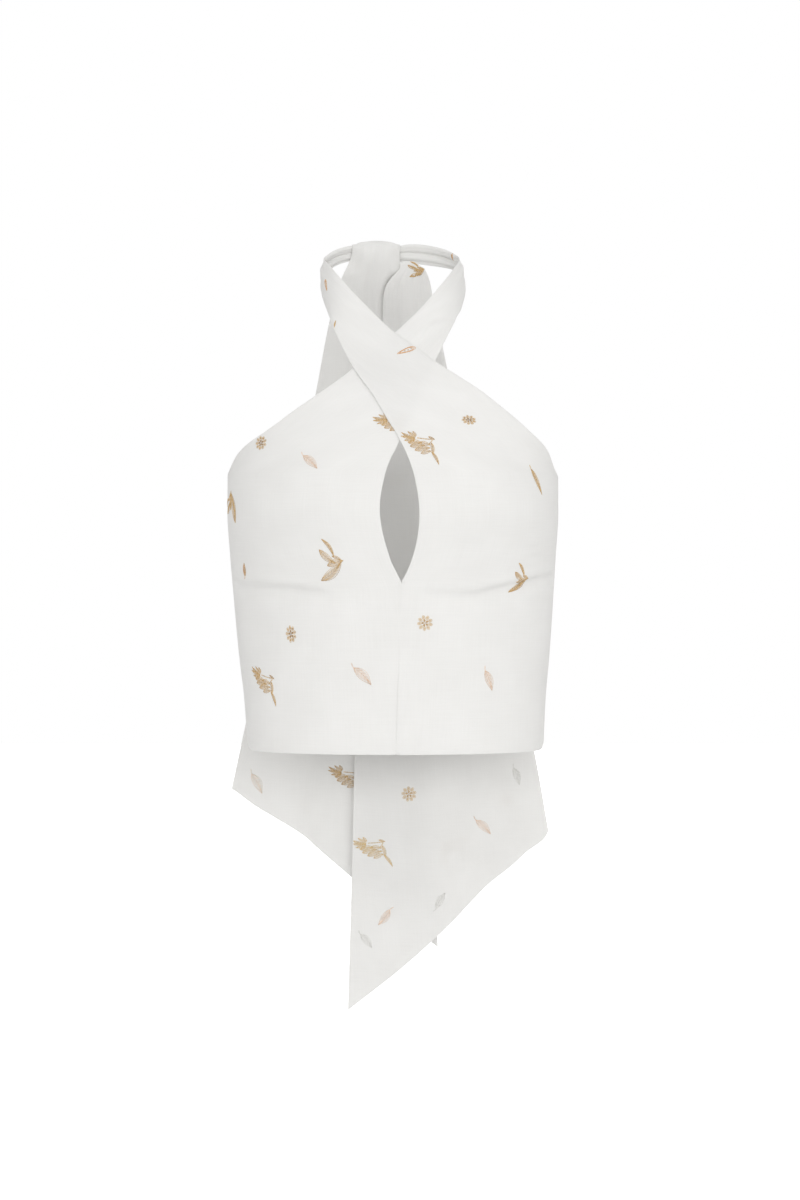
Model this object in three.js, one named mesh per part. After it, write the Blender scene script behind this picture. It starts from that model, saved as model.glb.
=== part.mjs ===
// A cropped halter neck top in light woven cloth, kept in its worn, hollow form.
// Two front panels meet at a centre seam, part round a keyhole, cross over each other above it and run
// on as straps to a wrap at the nape, from which two wide tie ends hang down behind the low back.
// Left and right are the wearer's. Millimetres; the wearer faces -Y, +X is the wearer's left, +Z is up.
// Heights are measured from just under the bust, depths from the plane of the side seams, and the whole
// group is then moved so that the origin is where the straps rest on the nape.
import * as THREE from 'three';

// Driving sizes
const wall = 1.6;                 // thickness of the doubled cloth
const seamGap = 0.3;              // clearance between two pieces at a seam
const hemHeight = -131.5;
const sideSeamTop = 107;
const backScoop = { centre: -12, shoulder: 2.6 };   // height at centre back, squareness of the dip
const strapLift = 2.6;            // how far the upper strap rides over the lower one
const crossing = { x: -1, height: 179, halfWidth: 36, halfHeight: 47, core: 1.12, fade: 0.85, tilt: 0.3 };
const bust = { x: 74, height: 70, swell: 5, width: 46, tall: 40 };
const reliefFade = 2.5;           // how soon the front's relief dies out towards the side seams
const atSideSeam = 1.56;          // a turn past this lies on the side seam
const weight = { rows: 2, neckRows: 3, across: 12, round: 26, down: 8 };

// The general figure that the top is cut for, a row for each height
const figure = [
  { height: -131.5, half: 131.5, front: 92, back: 88, power: 2.2, shift: 0 },
  { height: -90, half: 134, front: 94, back: 86, power: 2.2, shift: -0.5 },
  { height: -45, half: 138.5, front: 96, back: 83, power: 2.2, shift: -1.2 },
  { height: 0, half: 142, front: 100, back: 84, power: 2.2, shift: -1.8 },
  { height: 40, half: 144.6, front: 110, back: 87, power: 2.25, shift: -2.2 },
  { height: 78, half: 146.6, front: 117, back: 90, power: 2.3, shift: -2.2 },
  { height: 108, half: 146.6, front: 116, back: 92, power: 2.3, shift: -2.2 },
  { height: 135, half: 148, front: 110, back: 92, power: 2.3, shift: -1.5 },
  { height: 165, half: 150, front: 99.5, back: 92, power: 2.3, shift: -1 },
  { height: 195, half: 150, front: 86, back: 92, power: 2.3, shift: -1 },
  { height: 225, half: 150, front: 71, back: 92, power: 2.3, shift: -1 },
  { height: 250, half: 150, front: 58, back: 92, power: 2.3, shift: -1 },
  { height: 275, half: 150, front: 46, back: 92, power: 2.3, shift: -1 },
];

// Soft troughs in the cloth of the front: a line from one point to the other, its depth and width
const frontFolds = [
  { x0: -140, z0: 19, x1: -62, z1: 5, deep: 3.2, wide: 8 },
  { x0: 34, z0: 4, x1: 84, z1: 4, deep: 2.6, wide: 7 },
  { x0: 84, z0: 4, x1: 142, z1: 21, deep: 3.6, wide: 8 },
];

// Each front panel, a row for each line across it, from the hem up to the neck. The inner end lies on
// the centre front seam, the keyhole and the lower edge of the strap; the outer end on the side seam,
// the armhole edge and the upper edge of the strap.
const side = 999;                 // stands for an outer end on the side seam
const leftFront = [
  { inX: 0.6, inZ: -131.5, outX: side, outZ: -131.5 },
  { inX: 2.1, inZ: -85, outX: side, outZ: -85 },
  { inX: 3.4, inZ: -40, outX: side, outZ: -40 },
  { inX: 4.6, inZ: -5, outX: side, outZ: -5 },
  { inX: 5.2, inZ: 14.5, outX: side, outZ: 16, corner: 'in' },
  { inX: 11.6, inZ: 27, outX: side, outZ: 33 },
  { inX: 16.6, inZ: 42, outX: side, outZ: 50 },
  { inX: 19.7, inZ: 58, outX: side, outZ: 67 },
  { inX: 20.4, inZ: 75.5, outX: side, outZ: 83 },
  { inX: 18.7, inZ: 92, outX: side, outZ: 97 },
  { inX: 14.9, inZ: 109, outX: side, outZ: 107, corner: 'out' },
  { inX: 9.9, inZ: 122.5, outX: 140.2, outZ: 114 },
  { inX: 4, inZ: 134.5, outX: 132, outZ: 130 },
  { inX: -2.7, inZ: 146, outX: 114.6, outZ: 145.7 },
  { inX: -8.7, inZ: 156, outX: 94.4, outZ: 162.1 },
  { inX: -14.6, inZ: 166.5, outX: 73, outZ: 179 },
  { inX: -20.6, inZ: 176.5, outX: 52.5, outZ: 192.5 },
  { inX: -28.3, inZ: 187, outX: 33.9, outZ: 204.2 },
  { inX: -36.1, inZ: 199, outX: 17, outZ: 216.5 },
  { inX: -43.1, inZ: 212.5, outX: 0.5, outZ: 228.5 },
  { inX: -49.3, inZ: 226, outX: -14, outZ: 243 },
  { inX: -55, inZ: 239, outX: -27, outZ: 257 },
];
const rightFront = [
  { inX: 0.6, inZ: -131.5, outX: -side, outZ: -131.5 },
  { inX: 2.1, inZ: -85, outX: -side, outZ: -85 },
  { inX: 3.4, inZ: -40, outX: -side, outZ: -40 },
  { inX: 4.6, inZ: -5, outX: -side, outZ: -5 },
  { inX: 5.2, inZ: 14.5, outX: -side, outZ: 16, corner: 'in' },
  { inX: -1.1, inZ: 27, outX: -side, outZ: 33 },
  { inX: -6.8, inZ: 42, outX: -side, outZ: 50 },
  { inX: -11.1, inZ: 58, outX: -side, outZ: 67 },
  { inX: -13.2, inZ: 75.5, outX: -side, outZ: 83 },
  { inX: -11.7, inZ: 92, outX: -side, outZ: 97 },
  { inX: -7.7, inZ: 109, outX: -side, outZ: 107, corner: 'out' },
  { inX: -2.3, inZ: 122.5, outX: -145.5, outZ: 114 },
  { inX: 4, inZ: 136, outX: -134.5, outZ: 129 },
  { inX: 9.1, inZ: 147.5, outX: -109.7, outZ: 145.3 },
  { inX: 14.1, inZ: 159, outX: -87.5, outZ: 160.8 },
  { inX: 20.1, inZ: 172, outX: -65, outZ: 176 },
  { inX: 27, inZ: 188, outX: -41.2, outZ: 193.5 },
  { inX: 33, inZ: 202.5, outX: -21.7, outZ: 210.4 },
  { inX: 39.1, inZ: 216, outX: -2.9, outZ: 227.5 },
  { inX: 45.3, inZ: 229.5, outX: 12.6, outZ: 243 },
];

// Where each strap leaves the chest, turns round the neck and is gathered up into the wrap at the nape:
// the two edges in space, how far the band crowns between them and the depth of its gathers
const leftStrap = [
  { lowX: -60.5, lowY: -37, lowZ: 252.5, highX: -39.5, highY: -48, highZ: 270, crown: 4, gather: 0 },
  { lowX: -64.5, lowY: -12, lowZ: 265, highX: -51, highY: -38, highZ: 284, crown: 4.5, gather: 0.2 },
  { lowX: -65.8, lowY: 10, lowZ: 277.5, highX: -60.5, highY: -18, highZ: 297, crown: 3.5, gather: 0.6 },
  { lowX: -64, lowY: 27, lowZ: 289.5, highX: -64.2, highY: 5, highZ: 304, crown: 2, gather: 1 },
  { lowX: -59.5, lowY: 41, lowZ: 300, highX: -61, highY: 28, highZ: 311, crown: 1, gather: 1.2 },
  { lowX: -53, lowY: 52, lowZ: 306, highX: -55.5, highY: 45, highZ: 317.5, crown: 0.5, gather: 1.2 },
  { lowX: -47, lowY: 61.5, lowZ: 309.5, highX: -48.5, highY: 59.5, highZ: 322.5, crown: 0.3, gather: 1.2 },
  { lowX: -40.5, lowY: 65, lowZ: 311.5, highX: -40.5, highY: 64.5, highZ: 325.5, crown: 0.2, gather: 1.2 },
];
const rightStrap = [
  { lowX: 56, lowY: -38, lowZ: 250, highX: 26, highY: -54, highZ: 256.5, crown: 4, gather: 0 },
  { lowX: 60.3, lowY: -12, lowZ: 264, highX: 38, highY: -46, highZ: 272, crown: 4.5, gather: 0.2 },
  { lowX: 62, lowY: 10, lowZ: 277, highX: 49, highY: -24, highZ: 288, crown: 3.5, gather: 0.6 },
  { lowX: 60, lowY: 28, lowZ: 289, highX: 57, highY: 5, highZ: 303, crown: 2, gather: 1 },
  { lowX: 53.5, lowY: 42, lowZ: 299, highX: 54, highY: 28, highZ: 311, crown: 1, gather: 1.4 },
  { lowX: 43, lowY: 54, lowZ: 304, highX: 44, highY: 48, highZ: 319, crown: 0.5, gather: 1.5 },
  { lowX: 28, lowY: 63, lowZ: 307.5, highX: 28, highY: 62, highZ: 325, crown: 0.3, gather: 1.5 },
  { lowX: 14, lowY: 68, lowZ: 310, highX: 14, highY: 67, highZ: 326.6, crown: 0.2, gather: 1.4 },
  { lowX: 4.4, lowY: 69, lowZ: 311, highX: 4.4, highY: 69, highZ: 325.6, crown: 0.2, gather: 1.2 },
];
const gathers = { across: 2, phase: 0.6 };

// The wrap of gathered cloth round both strap ends
const wrap = {
  x0: -40, x1: 4, low: 304.5, high: 330, y0: 58, y1: 84,
  pleats: 4, pleat: 0.7, power: 3, end: 0.86,
};
const nape = { depth: wrap.y0, height: (wrap.low + wrap.high) / 2 };   // where the wearer holds it up

// Depth at which the tie ends hang, a row for each height, for the left tie; the right one lies behind
const hang = [
  { height: 312, depth: 61 },
  { height: 304, depth: 62.2 },
  { height: 280, depth: 68.5 },
  { height: 250, depth: 77.5 },
  { height: 190, depth: 90 },
  { height: 110, depth: 99 },
  { height: 0, depth: 102 },
  { height: -130, depth: 104 },
  { height: -400, depth: 101 },
];
// How far the right tie hangs behind the left one
const tieBack = { head: 6.5, hung: 9, from: 304, to: 270 };
const tieRound = { half: 150, forward: 11 };   // how the sides of a tie come forward round the back

// Edges of each tie end: left and right edge by height as seen from the front, and its top and bottom
// by the share of the way across
const leftTieEnd = {
  name: 'tie_left',
  behind: false,
  left: [
    { height: 310, x: 4.6 }, { height: 305, x: 4.5 }, { height: 300.5, x: 0.8 }, { height: 296.5, x: -3.4 },
    { height: 288.2, x: -8.9 }, { height: 280, x: -10.9 }, { height: 263, x: -11.6 },
    { height: -140, x: -38 }, { height: -258, x: -41 }, { height: -384, x: -44.6 },
  ],
  right: [
    { height: 310, x: 21 }, { height: 303, x: 27 }, { height: 292.4, x: 31.2 }, { height: 280, x: 33.6 },
    { height: 214, x: 47.6 }, { height: -142, x: 129.3 }, { height: -220, x: 143 },
  ],
  top: [
    { across: 0, height: 308.8 }, { across: 0.2, height: 309.8 }, { across: 0.5, height: 310.2 },
    { across: 0.8, height: 309.2 }, { across: 1, height: 304 },
  ],
  bottom: [
    { across: 0, height: -383.4 }, { across: 0.25, height: -346 }, { across: 0.5, height: -303 },
    { across: 0.7, height: -264.5 }, { across: 0.81, height: -248 }, { across: 0.89, height: -234 },
    { across: 0.975, height: -222 }, { across: 1, height: -215 },
  ],
  folds: { count: 1.6, phase: 1.1, top: 1.8, bottom: 1.6 },
};
const rightTieEnd = {
  name: 'tie_right',
  behind: true,
  left: [
    { height: 305, x: -41 }, { height: 294, x: -51.5 }, { height: 260, x: -61 }, { height: 191, x: -75 },
    { height: -114, x: -140 }, { height: -176, x: -153.4 },
  ],
  right: [
    { height: 305, x: 4 }, { height: 260, x: 9 }, { height: -326, x: 39.6 },
  ],
  top: [
    { across: 0, height: 301 }, { across: 0.12, height: 304.3 }, { across: 1, height: 304.3 },
  ],
  bottom: [
    { across: 0, height: -176.5 }, { across: 0.02, height: -179 }, { across: 0.118, height: -192.8 },
    { across: 0.244, height: -206.9 }, { across: 0.358, height: -221 }, { across: 0.437, height: -235 },
    { across: 0.58, height: -258.6 }, { across: 1, height: -326 },
  ],
  folds: { count: 2.4, phase: 0.4, top: 2, bottom: 1.8 },
};

// Reads a table at a value of its first column, on smooth curves that never overshoot its rows
function read(table, by, column, at) {
  const rows = table[0][by] < table[table.length - 1][by] ? table : [...table].reverse();
  const last = rows.length - 1;
  const value = Math.min(Math.max(at, rows[0][by]), rows[last][by]);
  let i = 0;
  while (i < last - 1 && value > rows[i + 1][by]) i += 1;
  const slope = (k) => (rows[k + 1][column] - rows[k][column]) / (rows[k + 1][by] - rows[k][by]);
  const tangent = (k) => {
    if (k === 0) return slope(0);
    if (k === last) return slope(last - 1);
    const before = slope(k - 1);
    const after = slope(k);
    return before * after <= 0 ? 0 : (2 * before * after) / (before + after);
  };
  const span = rows[i + 1][by] - rows[i][by];
  const t = (value - rows[i][by]) / span;
  const rise = rows[i + 1][column] - rows[i][column];
  const m0 = tangent(i) * span;
  const m1 = tangent(i + 1) * span;
  return rows[i][column] + t * m0 + t * t * (3 * rise - 2 * m0 - m1) + t * t * t * (m0 + m1 - 2 * rise);
}

// A smooth curve through one column of evenly numbered rows, at a row number that may lie between two.
// Its inner or outer end may turn sharply at a row that names it as a corner.
function along(rows, column, at) {
  const last = rows.length - 1;
  const i = Math.min(Math.floor(at), last - 1);
  const t = at - i;
  const v = (k) => rows[Math.min(Math.max(k, 0), last)][column];
  const rise = v(i + 1) - v(i);
  const sharp = (k) => rows[k].corner && column.startsWith(rows[k].corner);
  const m0 = sharp(i) ? rise : (v(i + 1) - v(i - 1)) / 2;
  const m1 = sharp(i + 1) ? rise : (v(i + 2) - v(i)) / 2;
  return v(i) + t * m0 + t * t * (3 * rise - 2 * m0 - m1) + t * t * t * (m0 + m1 - 2 * rise);
}

const power = (v, p) => Math.sign(v) * Math.abs(v) ** p;
const smooth = (t) => t * t * (3 - 2 * t);
const clamp01 = (t) => Math.min(Math.max(t, 0), 1);
const mix = (a, b, t) => a + (b - a) * t;

// A point of the figure: turn is 0 at the centre front, 90 degrees at the wearer's left side seam
function onFigure(turn, height) {
  const half = read(figure, 'height', 'half', height);
  const p = 2 / read(figure, 'height', 'power', height);
  const shift = read(figure, 'height', 'shift', height);
  const front = Math.cos(turn) > 0;
  const deep = read(figure, 'height', front ? 'front' : 'back', height);
  const x = shift + half * power(Math.sin(turn), p);
  let y = -deep * power(Math.cos(turn), p);
  if (front) y -= (swell(x, height) - foldDepth(x, height)) * smooth(clamp01(Math.cos(turn) * reliefFade));
  return new THREE.Vector3(x, y, height);
}

function swell(x, height) {
  const across = (Math.abs(x) - bust.x) / bust.width;
  const up = (height - bust.height) / bust.tall;
  return bust.swell * Math.exp(-across * across - up * up);
}

// How deep the soft troughs are at a point; they fade at both ends and are wider on the lower side
function foldDepth(x, height) {
  const run = 4;
  const start = 0.2;
  const lowerSide = 1.8;
  let deep = 0;
  for (const fold of frontFolds) {
    const dx = fold.x1 - fold.x0;
    const dz = fold.z1 - fold.z0;
    const length = Math.hypot(dx, dz);
    const t = ((x - fold.x0) * dx + (height - fold.z0) * dz) / (length * length);
    const off = ((height - fold.z0) * dx - (x - fold.x0) * dz) / length;
    const ends = clamp01(t * run + start) * clamp01((1 - t) * run + start);
    const below = off < 0 ? fold.wide * lowerSide : fold.wide;
    deep += fold.deep * ends * Math.exp(-((off / below) ** 2));
  }
  return deep;
}

// How far round the figure a point seen from the front lies
function turnAt(x, height) {
  if (Math.abs(x) >= side) return Math.sign(x) * Math.PI / 2;
  const half = read(figure, 'height', 'half', height);
  const shift = read(figure, 'height', 'shift', height);
  const share = Math.min(Math.abs(x - shift) / half, 1);
  return Math.sign(x - shift) * Math.asin(share ** (read(figure, 'height', 'power', height) / 2));
}

// The upper strap rides over the lower one inside a diamond round the crossing
function lift(x, height) {
  const far = Math.abs(x - crossing.x) / crossing.halfWidth
    + Math.abs(height - crossing.height) / crossing.halfHeight;
  return strapLift * (1 - smooth(clamp01((far - crossing.core) / crossing.fade)));
}

// One front panel with its strap, as a grid of points of its outer face from the hem to the wrap
function frontGrid(chest, strap, over) {
  const rows = [];
  const sign = over ? 1 : -1;
  const turned = chest.map((row) => ({
    inTurn: turnAt(row.inX, row.inZ),
    outTurn: turnAt(row.outX, row.outZ),
    inZ: row.inZ,
    outZ: row.outZ,
    corner: row.corner,
  }));
  const raised = (turn, height) => {
    const p = onFigure(turn, height);
    const rise = over ? lift(p.x, height) : 0;
    return p.add(new THREE.Vector3(0, -rise, rise * crossing.tilt));
  };
  const edgeGap = seamGap / 2;
  const chestRow = (at) => {
    const inTurn = along(turned, 'inTurn', at);
    const outTurn = along(turned, 'outTurn', at);
    const inZ = along(turned, 'inZ', at);
    const outZ = along(turned, 'outZ', at);
    const points = [];
    for (let j = 0; j <= weight.across; j += 1) {
      const t = j / weight.across;
      const p = raised(mix(inTurn, outTurn, t), mix(inZ, outZ, t));
      if (j === 0) p.x += sign * edgeGap;
      if (j === weight.across && Math.abs(outTurn) > atSideSeam) p.y -= edgeGap;
      points.push(p);
    }
    return points;
  };
  for (let at = 0; at < chest.length - 1; at += 1 / weight.rows) rows.push(chestRow(at));
  const lastRow = chestRow(chest.length - 1);
  rows.push(lastRow);
  const first = lastRow[0];
  const end = lastRow[weight.across];
  const before = rows[rows.length - 1 - weight.rows];
  const ahead = [before, lastRow].map((row) => ({
    lowX: row[0].x, lowY: row[0].y, lowZ: row[0].z,
    highX: row[weight.across].x, highY: row[weight.across].y, highZ: row[weight.across].z,
    crown: crownOf(row), gather: 0,
  }));
  const full = [...ahead, ...strap];
  const path = (at) => {
    const low = new THREE.Vector3(along(full, 'lowX', at), along(full, 'lowY', at), along(full, 'lowZ', at));
    const high = new THREE.Vector3(
      along(full, 'highX', at), along(full, 'highY', at), along(full, 'highZ', at));
    return { low, high };
  };
  const glance = 0.05;            // the part of a row looked ahead and back for the strap's direction
  const restOfChest = lastRow.map((p, j) => p.clone().sub(first.clone().lerp(end, j / weight.across)));
  for (let k = 1; k <= strap.length * weight.neckRows; k += 1) {
    const at = 1 + k / weight.neckRows;
    const { low, high } = path(at);
    const next = path(Math.min(at + glance, full.length - 1));
    const back = path(at - glance);
    const forward = next.low.clone().add(next.high).sub(back.low).sub(back.high).normalize();
    const across = high.clone().sub(low);
    const out = across.clone().cross(forward).multiplyScalar(sign);
    if (k === strap.length * weight.neckRows) out.x = 0;
    out.normalize();
    const crown = along(full, 'crown', at);
    const gather = along(full, 'gather', at);
    const fresh = smooth(clamp01(k / weight.neckRows));
    const points = [];
    for (let j = 0; j <= weight.across; j += 1) {
      const t = j / weight.across;
      const waves = gather * Math.sin(2 * Math.PI * gathers.across * t + gathers.phase);
      const p = low.clone().addScaledVector(across, t);
      const crowned = out.clone().multiplyScalar(crown * 4 * t * (1 - t) * fresh + waves);
      p.add(crowned).addScaledVector(restOfChest[j], 1 - fresh);
      points.push(p);
    }
    rows.push(points);
  }
  return rows;
}

// How far the middle of a row stands out from the straight line between its ends
function crownOf(row) {
  const middle = row[Math.floor(row.length / 2)];
  return middle.distanceTo(row[0].clone().lerp(row[row.length - 1], 0.5));
}

// The back panel, from side seam to side seam, with its top edge dipping to the centre back
function backGrid() {
  const rows = [];
  for (let i = 0; i <= weight.down; i += 1) {
    const v = i / weight.down;
    const points = [];
    for (let j = 0; j <= weight.round; j += 1) {
      const u = j / weight.round;
      const turn = Math.PI / 2 + Math.PI * u;
      const away = Math.abs(2 * u - 1) ** backScoop.shoulder;
      const top = mix(backScoop.centre, sideSeamTop, away);
      const p = onFigure(turn, mix(hemHeight, top, v));
      if (j === 0 || j === weight.round) p.y += seamGap / 2;
      points.push(p);
    }
    rows.push(points);
  }
  return rows;
}

// One tie end, from its gathered head under the wrap to its slanted hem
function tieGrid(tie, rowsDown, columns) {
  const closerAtTop = 1.35;
  const foldsStart = 8;
  const rows = [];
  for (let i = 0; i <= rowsDown; i += 1) {
    const v = (i / rowsDown) ** closerAtTop;
    const points = [];
    for (let j = 0; j <= columns; j += 1) {
      const u = j / columns;
      const top = read(tie.top, 'across', 'height', u);
      const bottom = read(tie.bottom, 'across', 'height', u);
      const z = mix(top, bottom, v);
      const x = mix(read(tie.left, 'height', 'x', z), read(tie.right, 'height', 'x', z), u);
      const wave = Math.sin(2 * Math.PI * (tie.folds.count * u) + tie.folds.phase);
      const deep = mix(tie.folds.top, tie.folds.bottom, v) * smooth(clamp01(v * foldsStart));
      const round = tieRound.forward * (x / tieRound.half) ** 2;
      const lowered = clamp01((tieBack.from - z) / (tieBack.from - tieBack.to));
      const behind = tie.behind ? mix(tieBack.head, tieBack.hung, lowered) : 0;
      const y = read(hang, 'height', 'depth', z) + behind + deep * wave - round;
      points.push(new THREE.Vector3(x, y, z));
    }
    rows.push(points);
  }
  return rows;
}

// Turns a grid of points into a closed wall: the grid is one face, and the other lies the wall's
// thickness away from it, on the side given. A square end keeps the last row in its upright plane.
function wallFrom(grid, thickness, facing, squareEnd = false) {
  const m = grid.length;
  const n = grid[0].length;
  const at = (i, j) => grid[Math.min(Math.max(i, 0), m - 1)][Math.min(Math.max(j, 0), n - 1)];
  const positions = [];
  const inner = [];
  for (let i = 0; i < m; i += 1) {
    for (let j = 0; j < n; j += 1) {
      const down = at(i + 1, j).clone().sub(at(i - 1, j));
      const over = at(i, j + 1).clone().sub(at(i, j - 1));
      const normal = over.cross(down).multiplyScalar(facing);
      if (squareEnd && i === m - 1) normal.x = 0;
      normal.normalize();
      const p = at(i, j);
      positions.push(p.x, p.y, p.z);
      inner.push(p.x - normal.x * thickness, p.y - normal.y * thickness, p.z - normal.z * thickness);
    }
  }
  positions.push(...inner);
  const index = [];
  const other = m * n;
  const quad = (a, b, c, d) => {
    if (facing > 0) index.push(a, b, c, a, c, d);
    else index.push(a, c, b, a, d, c);
  };
  for (let i = 0; i < m - 1; i += 1) {
    for (let j = 0; j < n - 1; j += 1) {
      const a = i * n + j;
      quad(a, a + 1, a + n + 1, a + n);
      quad(other + a, other + a + n, other + a + n + 1, other + a + 1);
    }
  }
  for (let i = 0; i < m - 1; i += 1) {
    const a = i * n;
    const b = a + n - 1;
    quad(a, a + n, other + a + n, other + a);
    quad(b, other + b, other + b + n, b + n);
  }
  for (let j = 0; j < n - 1; j += 1) {
    const a = j;
    const b = (m - 1) * n + j;
    quad(a, other + a, other + a + 1, a + 1);
    quad(b, b + 1, other + b + 1, other + b);
  }
  return solidFrom(positions, index);
}

function solidFrom(positions, index) {
  const geometry = new THREE.BufferGeometry();
  geometry.setAttribute('position', new THREE.Float32BufferAttribute(positions, 3));
  geometry.setIndex(index);
  geometry.computeVertexNormals();
  return geometry;
}

// The wrap is a pleated roll between two flat ends
function wrapSolid() {
  const rings = 14;
  const round = 24;
  const positions = [];
  const index = [];
  const middleZ = (wrap.low + wrap.high) / 2;
  const middleY = (wrap.y0 + wrap.y1) / 2;
  for (let i = 0; i <= rings; i += 1) {
    const s = i / rings;
    const x = mix(wrap.x0, wrap.x1, s);
    const ends = mix(wrap.end, 1, Math.sqrt(Math.sin(Math.PI * s)));
    const pleat = wrap.pleat * Math.cos(2 * Math.PI * wrap.pleats * s);
    for (let j = 0; j < round; j += 1) {
      const turn = (2 * Math.PI * j) / round;
      const halfY = ((wrap.y1 - wrap.y0) / 2) * ends + pleat;
      const halfZ = ((wrap.high - wrap.low) / 2) * ends;
      const y = middleY + halfY * power(Math.cos(turn), 2 / wrap.power);
      const z = middleZ + halfZ * power(Math.sin(turn), 2 / wrap.power);
      positions.push(x, y, z);
    }
  }
  const ends = positions.length / 3;
  positions.push(wrap.x0, middleY, middleZ, wrap.x1, middleY, middleZ);
  for (let i = 0; i < rings; i += 1) {
    for (let j = 0; j < round; j += 1) {
      const a = i * round + j;
      const b = i * round + ((j + 1) % round);
      index.push(a, b + round, a + round, a, b, b + round);
    }
  }
  for (let j = 0; j < round; j += 1) {
    const next = (j + 1) % round;
    const far = rings * round;
    index.push(ends, next, j);
    index.push(ends + 1, far + j, far + next);
  }
  return solidFrom(positions, index);
}

const group = new THREE.Group();
function add(name, geometry, colour) {
  const material = new THREE.MeshStandardMaterial({ color: colour, roughness: 0.9, metalness: 0 });
  const mesh = new THREE.Mesh(geometry, material);
  mesh.name = name;
  group.add(mesh);
}

const cloth = '#ebeae6';
add('front_left', wallFrom(frontGrid(leftFront, leftStrap, true), wall, 1, true), cloth);
add('front_right', wallFrom(frontGrid(rightFront, rightStrap, false), wall, -1, true), cloth);
add('back', wallFrom(backGrid(), wall, 1), cloth);
add('nape_knot', wrapSolid(), cloth);
add(leftTieEnd.name, wallFrom(tieGrid(leftTieEnd, 22, 12), wall, 1), cloth);
add(rightTieEnd.name, wallFrom(tieGrid(rightTieEnd, 20, 14), wall, 1), cloth);

group.position.set(0, -nape.depth, -nape.height);
group.updateMatrixWorld(true);

export default group;
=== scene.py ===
import math

import bpy
import numpy as np
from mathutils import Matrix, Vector
from mathutils.bvhtree import BVHTree


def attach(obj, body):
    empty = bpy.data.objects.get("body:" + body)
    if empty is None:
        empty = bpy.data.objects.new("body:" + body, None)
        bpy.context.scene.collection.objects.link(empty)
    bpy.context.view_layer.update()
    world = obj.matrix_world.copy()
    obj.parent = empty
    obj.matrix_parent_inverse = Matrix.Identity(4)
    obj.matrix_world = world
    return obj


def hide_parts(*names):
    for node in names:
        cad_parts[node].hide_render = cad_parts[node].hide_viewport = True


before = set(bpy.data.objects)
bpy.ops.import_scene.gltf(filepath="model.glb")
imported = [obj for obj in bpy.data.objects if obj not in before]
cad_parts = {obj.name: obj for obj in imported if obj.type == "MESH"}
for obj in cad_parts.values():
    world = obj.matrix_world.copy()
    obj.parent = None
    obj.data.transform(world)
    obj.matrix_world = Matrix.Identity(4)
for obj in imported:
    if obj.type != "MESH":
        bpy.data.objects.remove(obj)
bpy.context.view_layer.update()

bl_info = {
    "name": "Halter neck top",
    "version": (1, 0, 0),
    "blender": (4, 5, 0),
    "location": "3D View > Sidebar > Halter",
    "description": "Builds a cropped halter neck top with its cloth, gathers and thread motifs",
    "category": "Add Mesh",
}

CLOTH = {}
MM = 0.001
NAPE = np.array([0.0, 58.0, 317.25])
SIDE = 999.0


def table(columns, *rows):
    """A short table: a dictionary for each row, with the columns named once."""
    names = columns.split()
    return [dict(zip(names, row)) for row in rows]


# The general figure, a row for each height
FIGURE = table(
    "height half front back power shift",
    (-131.5, 131.5, 92, 88, 2.2, 0),
    (-90, 134, 94, 86, 2.2, -0.5),
    (-45, 138.5, 96, 83, 2.2, -1.2),
    (0, 142, 100, 84, 2.2, -1.8),
    (40, 144.6, 110, 87, 2.25, -2.2),
    (78, 146.6, 117, 90, 2.3, -2.2),
    (108, 146.6, 116, 92, 2.3, -2.2),
    (135, 148, 110, 92, 2.3, -1.5),
    (165, 150, 99.5, 92, 2.3, -1),
    (195, 150, 86, 92, 2.3, -1),
    (225, 150, 71, 92, 2.3, -1),
    (250, 150, 58, 92, 2.3, -1),
    (275, 150, 46, 92, 2.3, -1),
)
BUST = {"x": 74, "height": 70, "swell": 5, "width": 46, "tall": 40}
HEM_HEIGHT = -131.5
SIDE_TOP = 107.0
BACK_DIP = {"centre": -12, "shoulder": 2.6}
CROSSING = {"x": -1, "height": 179, "half_width": 36, "half_height": 47, "fade": 0.85, "lift": 1.5}
HEM_CORNER = {"rise": 6.5, "reach": 17.0}

# Lines across each front panel, from the hem to the neck
LEFT_FRONT = table(
    "in_x in_z out_x out_z corner",
    (0.6, -131.5, SIDE, -131.5, ""),
    (2.1, -85, SIDE, -85, ""),
    (3.4, -40, SIDE, -40, ""),
    (4.6, -5, SIDE, -5, ""),
    (5.2, 14.5, SIDE, 16, "in"),
    (11.6, 27, SIDE, 33, ""),
    (16.6, 42, SIDE, 50, ""),
    (19.7, 58, SIDE, 67, ""),
    (20.4, 75.5, SIDE, 83, ""),
    (18.7, 92, SIDE, 97, ""),
    (14.9, 109, SIDE, 107, "out"),
    (9.9, 122.5, 140.2, 114, ""),
    (4, 134.5, 132, 130, ""),
    (-2.7, 146, 114.6, 145.7, ""),
    (-8.7, 156, 94.4, 162.1, ""),
    (-14.6, 166.5, 73, 179, ""),
    (-20.6, 176.5, 52.5, 192.5, ""),
    (-28.3, 187, 33.9, 204.2, ""),
    (-36.1, 199, 17, 216.5, ""),
    (-43.1, 212.5, 0.5, 228.5, ""),
    (-49.3, 226, -14, 243, ""),
    (-55, 239, -27, 257, ""),
)
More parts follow.
